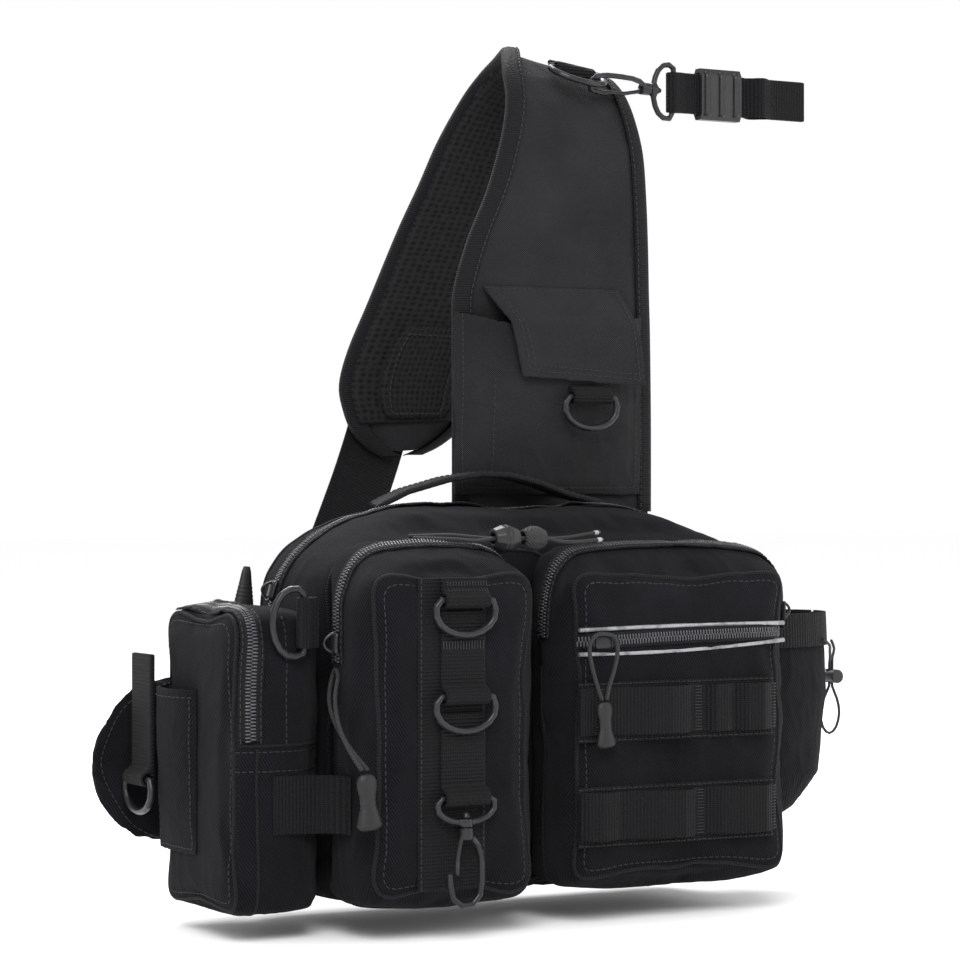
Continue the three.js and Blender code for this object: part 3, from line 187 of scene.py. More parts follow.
def surfaceAxes(tree):
    # the piece's own map: across and along the webbing or cord, in metres
    node = tree.nodes.new("ShaderNodeUVMap")
    node.uv_map = "surface"
    split = tree.nodes.new("ShaderNodeSeparateXYZ")
    tree.links.new(node.outputs["UV"], split.inputs[0])
    return node.outputs["UV"], split.outputs["X"], split.outputs["Y"]


def objectPlace(tree):
    return tree.nodes.new("ShaderNodeTexCoord").outputs["Object"]


def wave(tree, value, pitch):
    return mathNode(tree, "SINE", mathNode(tree, "MULTIPLY", value, 2 * math.pi / pitch))


def clothAxes(tree, level=0.75):
    # across and up the cloth, from the object's own place: y takes over from x on the sides, and from z where
    # the surface is nearly level
    place = objectPlace(tree)
    spot = tree.nodes.new("ShaderNodeSeparateXYZ")
    tree.links.new(place, spot.inputs[0])
    facing = tree.nodes.new("ShaderNodeSeparateXYZ")
    tree.links.new(tree.nodes.new("ShaderNodeNewGeometry").outputs["Normal"], facing.inputs[0])
    size = [mathNode(tree, "ABSOLUTE", facing.outputs[k]) for k in range(3)]

    def swap(first, second, share):
        keep = mathNode(tree, "MULTIPLY", first, mathNode(tree, "SUBTRACT", 1.0, share))
        return mathNode(tree, "ADD", keep, mathNode(tree, "MULTIPLY", second, share))

    onSide = mathNode(tree, "GREATER_THAN", size[0], size[1])
    onTop = mathNode(tree, "GREATER_THAN", size[2], level)
    across = swap(spot.outputs["X"], spot.outputs["Y"], onSide)
    along = swap(spot.outputs["Z"], spot.outputs["Y"], onTop)
    return place, across, along


clothLook = {"slant": 0.6, "twillPitch": 1.6, "weave": 0.6, "fuzz": 0.7, "fuzzScale": 1400, "wearScale": 26,
             "height": 0.5, "wear": 0.6, "dark": 0.4, "rough": 0.82, "roughSpread": 0.14, "sheen": 0.02,
             "relief": 0.7, "depth": 0.0004}


def clothMaterial(name, colour, pitch, shine, worn, twill=False):
    # plain or twill weave from two crossed sets of threads, with slow dust and wear over it
    look = clothLook
    material, tree, shader = nodeTree(name)
    place, across, along = clothAxes(tree)
    if twill:
        slant = mathNode(tree, "ADD", across, mathNode(tree, "MULTIPLY", along, look["slant"]))
        weave = mathNode(tree, "MULTIPLY", wave(tree, slant, pitch * look["twillPitch"]),
                         mathNode(tree, "ABSOLUTE", wave(tree, across, pitch)))
    else:
        weave = mathNode(tree, "MULTIPLY", wave(tree, across, pitch), wave(tree, along, pitch))
    fuzz = noiseNode(tree, place, look["fuzzScale"], 2)
    height = blend(tree, weave, look["weave"], fuzz, look["fuzz"])
    wear = noiseNode(tree, place, look["wearScale"], 5)
    grain = blend(tree, height, look["height"], wear, look["wear"])
    tinted(tree, shader, grain, colour, [(0.2, look["dark"]), (0.5, 1), (0.9, worn)])
    roughened(tree, shader, wear, look["roughSpread"], look["rough"])
    setSockets(shader, {"Sheen Weight": look["sheen"], "Sheen Roughness": 0.45, "Specular IOR Level": shine})
    bumpNode(tree, shader, height, look["relief"], look["depth"])
    return material


webbingLook = {"threadPitch": 0.55, "threads": 0.45, "fuzzScale": 1100, "height": 0.16, "depth": 0.0005,
               "sockets": {"Roughness": 0.72, "Sheen Weight": 0.015, "Sheen Roughness": 0.4,
                           "Specular IOR Level": 0.13}}


def webbingMaterial(name, colour, ribPitch, relief=0.7):
    # ribs across the webbing, crossed by finer threads along it
    look = webbingLook
    material, tree, shader = nodeTree(name)
    uv, across, along = surfaceAxes(tree)
    threads = wave(tree, across, ribPitch * look["threadPitch"])
    height = blend(tree, wave(tree, along, ribPitch), 1.0, threads, look["threads"])
    grain = blend(tree, height, look["height"], noiseNode(tree, uv, look["fuzzScale"], 2), 1.0)
    tinted(tree, shader, grain, colour, [(0.25, 0.6), (0.55, 1), (0.85, 1.5)])
    setSockets(shader, look["sockets"])
    bumpNode(tree, shader, height, relief, look["depth"])
    return material


def meshMaterial(name, colour, cell, ownMap=True):
    # knitted spacer mesh: small round openings, darker inside as painted shade in the holes
    material, tree, shader = nodeTree(name)
    if ownMap:
        uv = surfaceAxes(tree)[0]
    else:
        joined = tree.nodes.new("ShaderNodeCombineXYZ")
        for socket, value in zip(joined.inputs, clothAxes(tree)[1:]):
            tree.links.new(value, socket)
        uv = joined.outputs[0]
    cells = tree.nodes.new("ShaderNodeTexVoronoi")
    setSockets(cells, {"Scale": 1 / cell, "Randomness": 0.25})
    tree.links.new(uv, cells.inputs["Vector"])
    height = mathNode(tree, "MINIMUM", cells.outputs["Distance"], 0.5)
    # the darkest stop, near each cell's middle, is painted shade inside the openings
    tinted(tree, shader, height, colour, [(0.1, 0.3), (0.3, 1), (0.5, 1.7)])
    setSockets(shader, {"Roughness": 0.9, "Specular IOR Level": 0.15})
    bumpNode(tree, shader, height, 1.0, 0.0012)
    return material


mouldedLook = {"scuffScale": 90, "roughSpread": 0.25, "lessRough": 0.12, "shine": 0.32, "relief": 0.25,
               "depth": 0.0002}


def mouldedMaterial(name, colour, roughness, metallic=0.0, grain=900, scuff=1.6):
    # moulded or lacquered part with fine grain and rubbed lighter patches
    look = mouldedLook
    material, tree, shader = nodeTree(name)
    place = objectPlace(tree)
    scuffs = noiseNode(tree, place, look["scuffScale"], 6)
    tinted(tree, shader, scuffs, colour, [(0.35, 0.85), (0.6, 1), (0.78, scuff)])
    roughened(tree, shader, scuffs, look["roughSpread"], roughness - look["lessRough"])
    setSockets(shader, {"Metallic": metallic, "Specular IOR Level": look["shine"]})
    bumpNode(tree, shader, noiseNode(tree, place, grain, 2), look["relief"], look["depth"])
    return material


def cordMaterial(name, colour, pitch):
    # braided cover: two slanted sets of strands
    material, tree, shader = nodeTree(name)
    _, across, along = surfaceAxes(tree)
    first = wave(tree, mathNode(tree, "ADD", across, along), pitch)
    second = wave(tree, mathNode(tree, "SUBTRACT", across, along), pitch)
    height = mathNode(tree, "MAXIMUM", first, second)
    tinted(tree, shader, height, colour, [(0.1, 0.55), (0.9, 1.5)])
    setSockets(shader, {"Roughness": 0.7})
    bumpNode(tree, shader, height, 0.8, 0.0003)
    return material


def pipingMaterial(name, colour):
    # retroreflective film: fine glass beads with a faint net of cracks
    material, tree, shader = nodeTree(name)
    place = objectPlace(tree)
    tinted(tree, shader, noiseNode(tree, place, 160, 5), colour, [(0.36, 0.5), (0.5, 1), (0.8, 1.2)])
    setSockets(shader, {"Roughness": 0.4, "Metallic": 0.35})
    bumpNode(tree, shader, noiseNode(tree, place, 2600, 2), 0.4, 0.0002)
    return material


oxfordCloth = clothMaterial("oxfordCloth", (0.0044, 0.0046, 0.0058), 0.00092, shine=0.07, worn=2.6,
                            twill=True)
strapCloth = clothMaterial("strapTwill", (0.013, 0.013, 0.0142), 0.0012, shine=0.14, worn=2)
bindingCloth = webbingMaterial("bindingTape", (0.0072, 0.0072, 0.0082), 0.0013, 0.6)
ribbedWebbing = webbingMaterial("ribbedWebbing", (0.0046, 0.0046, 0.0054), 0.0018)
# both spacer meshes carry painted shade in their openings
airMesh = meshMaterial("airMesh", (0.006, 0.006, 0.0065), 0.0034)
backMesh = meshMaterial("backMesh", (0.008, 0.008, 0.0088), 0.0034, ownMap=False)
cordTip = mouldedMaterial("cordTip", (0.3, 0.3, 0.3), 0.5)
slidePlastic = mouldedMaterial("slidePlastic", (0.012, 0.012, 0.013), 0.38)
zipTape = webbingMaterial("zipTape", (0.005, 0.005, 0.0056), 0.0009, 0.4)
# the coil's grey, far lighter than the tape, is painted highlight for the glints on the teeth
zipCoil = mouldedMaterial("zipCoil", (0.05, 0.051, 0.056), 0.26, grain=2000)
threadDark = mouldedMaterial("sewingThread", (0.011, 0.011, 0.0125), 0.6, grain=3000)
ringPlastic = mouldedMaterial("ringPlastic", (0.0085, 0.0088, 0.0098), 0.34)
hookLacquer = mouldedMaterial("hookLacquer", (0.018, 0.0185, 0.021), 0.32, metallic=0.4, scuff=2.2)
softRubber = mouldedMaterial("softRubber", (0.0062, 0.0062, 0.0068), 0.5, grain=1400)
braidedCover = cordMaterial("braidedCover", (0.0075, 0.0075, 0.0085), 0.0016)
reflectiveFilm = pipingMaterial("reflectiveFilm", (0.23, 0.235, 0.25))
print("materials made")


# mesh helpers
def rideAndName(obj, nodes=()):
    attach(obj, "root")
    if nodes:
        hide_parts(*nodes)
    return obj


def meshPiece(name, points, faces, uvs, material):
    # piece from points in bag millimetres, with its own map for the weave
    mesh = bpy.data.meshes.new(name)
    mesh.from_pydata([toFrame(p) for p in points], [], faces)
    layer = mesh.uv_layers.new(name="surface")
    layer.data.foreach_set("uv", [c / 1000 for face in uvs for pair in face for c in pair])
    mesh.shade_smooth()
    mesh.materials.append(material)
    obj = bpy.data.objects.new(name, mesh)
    bpy.context.scene.collection.objects.link(obj)
    work = bmesh.new()
    work.from_mesh(mesh)
    bmesh.ops.remove_doubles(work, verts=work.verts, dist=1e-6)
    bmesh.ops.recalc_face_normals(work, faces=work.faces)
    work.to_mesh(mesh)
    work.free()
    mesh.update()
    return obj


def applied(obj):
    # the evaluated mesh takes the place of the modifiers
    bpy.context.view_layer.update()
    graph = bpy.context.evaluated_depsgraph_get()
    shown = obj.evaluated_get(graph)
    mesh = bpy.data.meshes.new_from_object(shown, preserve_all_data_layers=True, depsgraph=graph)
    obj.modifiers.clear()
    obj.data = mesh
    return obj


def subdivided(obj, levels=1):
    modifier = obj.modifiers.new("rounding", "SUBSURF")
    modifier.levels = levels
    modifier.render_levels = levels
    return applied(obj)


def smoothCurve(points, steps, closed=False):
    # Catmull-Rom through the points, steps between each two
    points = [Vector(p) for p in points]
    count = len(points)
    result = []
    last = count if closed else count - 1
    for i in range(last):
        if closed:
            a, b, c, d = (points[(i + k) % count] for k in (-1, 0, 1, 2))
        else:
            a, b, c, d = points[max(i - 1, 0)], points[i], points[i + 1], points[min(i + 2, count - 1)]
        for k in range(steps):
            t = k / steps
            result.append(0.5 * ((2 * b) + (c - a) * t + (2 * a - 5 * b + 4 * c - d) * t * t
                                 + (3 * b - a - 3 * c + d) * t ** 3))
    if not closed:
        result.append(points[-1].copy())
    return result


def lengthsAlong(points):
    total = [0.0]
    for a, b in zip(points, points[1:]):
        total.append(total[-1] + (b - a).length)
    return total


def resampled(points, spacing):
    lengths = lengthsAlong(points)
    count = max(2, int(round(lengths[-1] / spacing)) + 1)
    marks = np.linspace(0, lengths[-1], count)
    table = np.array([tuple(p) for p in points])
    return [Vector([np.interp(m, lengths, table[:, k]) for k in range(3)]) for m in marks]


def tubeMesh(name, points, radius, material, sides=10, closed=False, normal=None):
    # round rod or cord through the points, with u round it and v along it; radius may vary point by point
    points = [Vector(p) for p in points]
    count = len(points)
    radii = radius if isinstance(radius, (list, tuple)) else [radius] * count
    tangents = []
    for i in range(count):
        if closed:
            way = points[(i + 1) % count] - points[i - 1]
        else:
            way = points[min(i + 1, count - 1)] - points[max(i - 1, 0)]
        tangents.append(way.normalized())
    side = Vector(normal) if normal is not None else tangents[0].orthogonal()
    rings, lengths = [], [0.0]
    for i, (p, t) in enumerate(zip(points, tangents)):
        side = (side - t * side.dot(t)).normalized()
        other = t.cross(side)
        rings.append([p + side * (radii[i] * math.cos(2 * math.pi * k / sides))
                      + other * (radii[i] * math.sin(2 * math.pi * k / sides)) for k in range(sides)])
        if i:
            lengths.append(lengths[-1] + (p - points[i - 1]).length)
    vertices = [q for ring in rings for q in ring]
    faces, uvs = [], []
    girth = 2 * math.pi * max(radii)
    for i in range(count if closed else count - 1):
        j = (i + 1) % count
        v0 = lengths[i]
        v1 = lengths[j] if j else lengths[i] + (points[0] - points[i]).length
        for k in range(sides):
            m = (k + 1) % sides
            faces.append((i * sides + k, i * sides + m, j * sides + m, j * sides + k))
            u0, u1 = girth * k / sides, girth * (k + 1) / sides
            uvs.append([(u0, v0), (u1, v0), (u1, v1), (u0, v1)])
    if not closed:
        faces.append(tuple(reversed(range(sides))))
        faces.append(tuple(range((count - 1) * sides, count * sides)))
        uvs += [[(0, 0)] * sides] * 2
    return meshPiece(name, vertices, faces, uvs, material)


def slabMesh(name, rows, thickness, material, edge=1.0):
    # sheet on a grid of points; thickness in mm, edge is the share of it left at the two long edges
    grid = np.array([[tuple(p) for p in row] for row in rows], float)
    lines, columns = grid.shape[:2]
    alongWay = np.gradient(grid, axis=0)
    acrossWay = np.gradient(grid, axis=1)
    out = np.cross(alongWay, acrossWay)
    out /= np.linalg.norm(out, axis=2, keepdims=True) + 1e-12
    share = np.ones(columns)
    share[0] = share[-1] = edge
    half = (np.asarray(thickness) * share / 2)[..., None] * np.ones((lines, columns, 1))
    vertices = np.concatenate([(grid + out * half).reshape(-1, 3), (grid - out * half).reshape(-1, 3)])
    v = np.concatenate([[0], np.cumsum(np.linalg.norm(np.diff(grid[:, columns // 2], axis=0), axis=1))])
    u = np.concatenate([[0], np.cumsum(np.linalg.norm(np.diff(grid[lines // 2], axis=0), axis=1))])
    faces, uvs = [], []

    def quad(corners):
        faces.append(tuple(side * lines * columns + i * columns + j for side, i, j in corners))
        uvs.append([(u[j] + side * 0.7, v[i]) for side, i, j in corners])

    for i in range(lines - 1):
        for j in range(columns - 1):
            quad([(0, i, j), (0, i + 1, j), (0, i + 1, j + 1), (0, i, j + 1)])
            quad([(1, i, j), (1, i, j + 1), (1, i + 1, j + 1), (1, i + 1, j)])
        quad([(0, i, 0), (1, i, 0), (1, i + 1, 0), (0, i + 1, 0)])
        quad([(0, i, columns - 1), (0, i + 1, columns - 1), (1, i + 1, columns - 1), (1, i, columns - 1)])
    for j in range(columns - 1):
        quad([(0, 0, j), (0, 0, j + 1), (1, 0, j + 1), (1, 0, j)])
        quad([(0, lines - 1, j), (1, lines - 1, j), (1, lines - 1, j + 1), (0, lines - 1, j + 1)])
    return meshPiece(name, [tuple(p) for p in vertices], faces, uvs, material)


def ribbonMesh(name, points, normals, width, thickness, material, lift=0.0, crown=0.0):
    # strip of cloth laid on a surface along points, its middle raised by crown
    rows = []
    for i, (p, n) in enumerate(zip(points, normals)):
        way = (points[min(i + 1, len(points) - 1)] - points[max(i - 1, 0)]).normalized()
        side = way.cross(n).normalized()
        middle = p + n * (lift + thickness / 2)
        rows.append([middle + side * (width * (t - 0.5)) + n * (crown * math.sin(math.pi * t))
                     for t in (0, 0.25, 0.5, 0.75, 1)])
    return slabMesh(name, rows, thickness, material, edge=0.6)


# Geometry Nodes: a small piece repeated along a route, upright on the surface under it
def capsuleMesh(name, length, radius, flat=1.0, bow=0.0):
    work = bmesh.new()
    bmesh.ops.create_uvsphere(work, u_segments=6, v_segments=5, radius=radius / 1000)
    for v in work.verts:
        v.co = Vector((v.co.z, v.co.x, v.co.y))
        v.co.x += math.copysign((length / 2 - radius) / 1000, v.co.x) if abs(v.co.x) > 1e-7 else 0
        v.co.z = v.co.z * flat - bow / 1000 * (2000 * v.co.x / length) ** 2
    mesh = bpy.data.meshes.new(name)
    work.to_mesh(mesh)
    work.free()
    mesh.shade_smooth()
    return bpy.data.objects.new(name, mesh)


def repeatTree(name):
    tree = bpy.data.node_groups.new(name, "GeometryNodeTree")
    sockets = {"Geometry": "Geometry", "Part": "Object", "Spacing": "Float", "Turn": "Float",
               "Side step": "Float", "Finish": "Material"}
    for label, kind in sockets.items():
        tree.interface.new_socket(label, in_out="INPUT", socket_type="NodeSocket" + kind)
    tree.interface.new_socket("Geometry", in_out="OUTPUT", socket_type="NodeSocketGeometry")

    def add(kind, **values):
        node = tree.nodes.new(kind)
        for key, value in values.items():
            setattr(node, key, value)
        return node

    def link(a, b):
        tree.links.new(a, b)

    given, result = add("NodeGroupInput"), add("NodeGroupOutput")
    curve = add("GeometryNodeMeshToCurve")
    link(given.outputs["Geometry"], curve.inputs[0])
    resample = add("GeometryNodeResampleCurve", mode="LENGTH")
    link(curve.outputs[0], resample.inputs["Curve"])
    link(given.outputs["Spacing"], resample.inputs["Length"])
    up = add("GeometryNodeInputNamedAttribute", data_type="FLOAT_VECTOR")
    up.inputs["Name"].default_value = "up"
    tangent = add("GeometryNodeInputTangent")
    first = add("FunctionNodeAlignRotationToVector", axis="Z")
    link(up.outputs[0], first.inputs["Vector"])
    second = add("FunctionNodeAlignRotationToVector", axis="X", pivot_axis="Z")
    link(first.outputs[0], second.inputs["Rotation"])
    link(tangent.outputs[0], second.inputs["Vector"])
    turn = add("FunctionNodeRotateRotation", rotation_space="LOCAL")
    spin = add("ShaderNodeCombineXYZ")
    euler = add("FunctionNodeEulerToRotation")
    link(given.outputs["Turn"], spin.inputs["Z"])
    link(spin.outputs[0], euler.inputs[0])
    link(second.outputs[0], turn.inputs[0])
    link(euler.outputs[0], turn.inputs[1])
    points = add("GeometryNodeInstanceOnPoints")
    link(resample.outputs[0], points.inputs["Points"])
    part = add("GeometryNodeObjectInfo")
    link(given.outputs["Part"], part.inputs["Object"])
    link(part.outputs["Geometry"], points.inputs["Instance"])
    link(turn.outputs[0], points.inputs["Rotation"])
    # every second one steps aside, so that the two rows of a zip's coil mesh
    index = add("GeometryNodeInputIndex")
    odd = add("ShaderNodeMath", operation="MODULO")
    link(index.outputs[0], odd.inputs[0])
    odd.inputs[1].default_value = 2
    centred = add("ShaderNodeMath", operation="MULTIPLY_ADD")
    link(odd.outputs[0], centred.inputs[0])
    centred.inputs[1].default_value = 2
    centred.inputs[2].default_value = -1
    step = add("ShaderNodeMath", operation="MULTIPLY")
    link(centred.outputs[0], step.inputs[0])
    link(given.outputs["Side step"], step.inputs[1])
    offset = add("ShaderNodeCombineXYZ")
    link(step.outputs[0], offset.inputs["X"])
    move = add("GeometryNodeTranslateInstances")
    link(points.outputs[0], move.inputs["Instances"])
    link(offset.outputs[0], move.inputs["Translation"])
    real = add("GeometryNodeRealizeInstances")
    link(move.outputs[0], real.inputs[0])
    finish = add("GeometryNodeSetMaterial")
    link(real.outputs[0], finish.inputs["Geometry"])
    link(given.outputs["Finish"], finish.inputs["Material"])
    link(finish.outputs[0], result.inputs[0])
    return tree


repeatAlongRoute = repeatTree("repeatAlongRoute")
stitchPart = capsuleMesh("stitchPart", 2.5, 0.34, 0.7)
toothPart = capsuleMesh("toothPart", 3.0, 0.5, 0.95, 0.35)


def repeatPiece(name, routes, part, spacing, material, turn=0.0, step=0.0):
    # routes: list of (points, normals) in bag millimetres
    vertices, edges, ups = [], [], []
    for points, normals in routes:
        start = len(vertices)
        vertices += [toFrame(p) for p in points]
        ups += [tuple(n) for n in normals]
        edges += [(start + i, start + i + 1) for i in range(len(points) - 1)]
    mesh = bpy.data.meshes.new(name)
    mesh.from_pydata(vertices, edges, [])
    layer = mesh.attributes.new("up", "FLOAT_VECTOR", "POINT")
    layer.data.foreach_set("vector", [c for n in ups for c in n])
    obj = bpy.data.objects.new(name, mesh)
    bpy.context.scene.collection.objects.link(obj)
    modifier = obj.modifiers.new("repeat", "NODES")
    modifier.node_group = repeatAlongRoute
    values = {"Part": part, "Spacing": spacing / 1000, "Turn": turn, "Side step": step / 1000,
              "Finish": material}
    for item in repeatAlongRoute.interface.items_tree:
        if item.in_out == "INPUT" and item.name in values:
            modifier[item.identifier] = values[item.name]
    applied(obj)
    if not obj.data.materials:
        obj.data.materials.append(material)
    obj.data.shade_smooth()
    return rideAndName(obj)


def stitches(name, routes, spacing):
    return repeatPiece(name, routes, stitchPart, spacing, threadDark)


# surfaces, and routes laid on them
castFrom = 150  # how far back along its way each ray starts
outlineSpacing = 2.5


def inBag(p):
    return Vector(p) * 1000 + hangPoint


def surfaceTree(*objects):
    work = bmesh.new()
    for obj in objects:
        work.from_mesh(obj.data)
    tree = BVHTree.FromBMesh(work)
    work.free()
    return tree


def castRoute(tree, points, way, lift=0.0, spacing=3.0):
    # each point meets the surface along way, a unit vector
    way = Vector(way)
    spots, normals = [], []
    for p in resampled([Vector(q) for q in points], spacing):
        hit, normal, _, _ = tree.ray_cast(toFrame(p - way * castFrom), way)
        if hit is not None:
            spots.append(inBag(hit) + normal * lift)
            normals.append(normal)
    return spots, normals


def nearRoute(tree, points, lift=0.0, spacing=3.0):
    spots, normals = [], []
    for p in resampled([Vector(q) for q in points], spacing):
        hit, normal, _, _ = tree.find_nearest(toFrame(p))
        spots.append(inBag(hit) + normal * lift)
        normals.append(normal)
    return spots, normals


def eased(points, rounds=3, closed=False):
    points = [Vector(p) for p in points]
    count = len(points)
    for _ in range(rounds):
        inner = [(points[i - 1] + points[i] * 2 + points[(i + 1) % count]) / 4 for i in range(count)]
        points = inner if closed else [points[0], *inner[1:-1], points[-1]]
    return points


def sliceLoop(obj, axis, at):
    # ordered outline of the piece where its coordinate on axis is at, in bag millimetres
    work = bmesh.new()
    work.from_mesh(obj.data)
    place = [0, 0, 0]
    place[axis] = at
    normal = Vector([1.0 if k == axis else 0.0 for k in range(3)])
    every = work.verts[:] + work.edges[:] + work.faces[:]
    cut = bmesh.ops.bisect_plane(work, geom=every, plane_co=toFrame(place), plane_no=normal)["geom_cut"]
    edges = {e for e in cut if isinstance(e, bmesh.types.BMEdge)}
    loops = []
    while edges:
        start = edges.pop()
        chain = [start.verts[0], start.verts[1]]
        growing = True
        while growing:
            growing = False
            for e in chain[-1].link_edges:
                if e in edges:
                    edges.discard(e)
                    chain.append(e.other_vert(chain[-1]))
                    growing = True
                    break
        loops.append([inBag(v.co) for v in chain])
    work.free()
    longest = max(loops, key=lambda c: lengthsAlong(c)[-1])
    return resampled(longest, outlineSpacing)


def zipRoute(obj, node, axis, slack=2.0):
    # the part of the piece's outline at the zip that lies within the zip's own box
    low, high = (inBag(c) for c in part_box(node))
    loop = sliceLoop(obj, axis, (low[axis] + high[axis]) / 2)
    others = [k for k in range(3) if k != axis]
    inside = [all(low[k] - slack <= p[k] <= high[k] + slack for k in others) for p in loop]
    if all(inside):
        return loop
    first = next(i for i in range(len(loop)) if inside[i] and not inside[i - 1])
    chain = []
    for k in range(len(loop)):
        i = (first + k) % len(loop)
        if not inside[i]:
            break
        chain.append(loop[i])
    return eased(chain, 4)


# soft pieces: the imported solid's outside, remeshed, filled under pressure and creased
def outsideOf(nodes, wholeMesh):
    work = bmesh.new()
    for node in nodes:
        work.from_mesh(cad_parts[node].data)
    bmesh.ops.remove_doubles(work, verts=work.verts, dist=1e-5)
    if not wholeMesh:
        tree = BVHTree.FromBMesh(work)
        inner = [f for f in work.faces
                 if tree.ray_cast(f.calc_center_median() + f.normal * 2e-5, f.normal)[0] is not None]
        bmesh.ops.delete(work, geom=inner, context="FACES")
    return work


def remeshed(name, nodes, voxel, smooth=4, wholeMesh=True):
    work = outsideOf(nodes, wholeMesh)
    mesh = bpy.data.meshes.new(name)
    work.to_mesh(mesh)
    work.free()
    obj = bpy.data.objects.new(name, mesh)
    bpy.context.scene.collection.objects.link(obj)
    remesh = obj.modifiers.new("remesh", "REMESH")
    remesh.mode = "VOXEL"
    remesh.voxel_size = voxel / 1000
    easing = obj.modifiers.new("easing", "SMOOTH")
    easing.factor = 0.5
    easing.iterations = smooth
    applied(obj)
    obj.data.materials.clear()
    return obj


clothRun = {"quality": 5, "mass": 0.25, "bending": 2.0, "frames": 20}


def filledUnderPressure(obj, pressure, cap, shrink):
    # pressure cloth from a slightly smaller start; no point ends farther than cap from where it was
    count = len(obj.data.vertices)
    rest = np.empty(count * 3, np.float32)
    obj.data.vertices.foreach_get("co", rest)
    normals = np.empty(count * 3, np.float32)
    obj.data.vertices.foreach_get("normal", normals)
    small = rest.reshape(-1, 3) - normals.reshape(-1, 3) * shrink / 1000
    obj.data.vertices.foreach_set("co", small.ravel())
    obj.data.update()
    cloth = obj.modifiers.new("fill", "CLOTH")
    cloth.settings.use_pressure = True
    cloth.settings.uniform_pressure_force = pressure
    cloth.settings.quality = clothRun["quality"]
    cloth.settings.mass = clothRun["mass"]
    cloth.settings.bending_stiffness = clothRun["bending"]
    cloth.settings.effector_weights.gravity = 0
    for step in range(1, clothRun["frames"] + 1):
        bpy.context.scene.frame_set(step)
    graph = bpy.context.evaluated_depsgraph_get()
    moved = np.empty(count * 3, np.float32)
    obj.evaluated_get(graph).data.vertices.foreach_get("co", moved)
    travel = moved.reshape(-1, 3) - small
    size = np.linalg.norm(travel, axis=1, keepdims=True)
    travel *= np.minimum(1, cap / 1000 / np.maximum(size, 1e-9))
    obj.modifiers.clear()
    obj.data.vertices.foreach_set("co", (small + travel).ravel())
    obj.data.update()
    bpy.context.scene.frame_set(1)


def creased(obj, depth, size, seed):
    # slow dents and finer slanting creases pressed in along the normals
    shift = Vector((seed * 3.7, seed * 1.9, seed * 2.3))
    mesh = obj.data
    normals = [v.normal.copy() for v in mesh.vertices]
    for v, n in zip(mesh.vertices, normals):
        p = v.co * 1000 / size + shift
        slow = noise.noise(p)
        fold = 1 - abs(noise.noise(Vector((p.x * 2.2, p.y * 2.2, p.z * 1.2 + p.x)) + shift)) * 2.5
        v.co += n * (depth / 1000) * (slow * 0.9 - 0.35 + max(0, fold) * 0.35)
    mesh.update()


def softPiece(name, nodes, material, settings):
    obj = remeshed(name, nodes, settings["voxel"], settings.get("smooth", 4),
                   settings.get("wholeMesh", False))
    if settings.get("pressure"):
        filledUnderPressure(obj, settings["pressure"], settings["cap"], settings["shrink"])
        subdivided(obj)
    if settings.get("depth"):
        creased(obj, settings["depth"], settings["crease"], settings["seed"])
    obj.data.materials.append(material)
    obj.data.shade_smooth()
    rideAndName(obj, nodes)
    return obj


def giveUv(obj, along, normal):
    # own UV for a flat run: v along the webbing, u across it
    along, normal = Vector(along).normalized(), Vector(normal).normalized()
    across = along.cross(normal).normalized()
    layer = obj.data.uv_layers.new(name="surface")
    values = []
    for loop in obj.data.loops:
        p = obj.data.vertices[loop.vertex_index].co
        values += [p.dot(across), p.dot(along)]
    layer.data.foreach_set("uv", values)
    return obj


print("tools made")


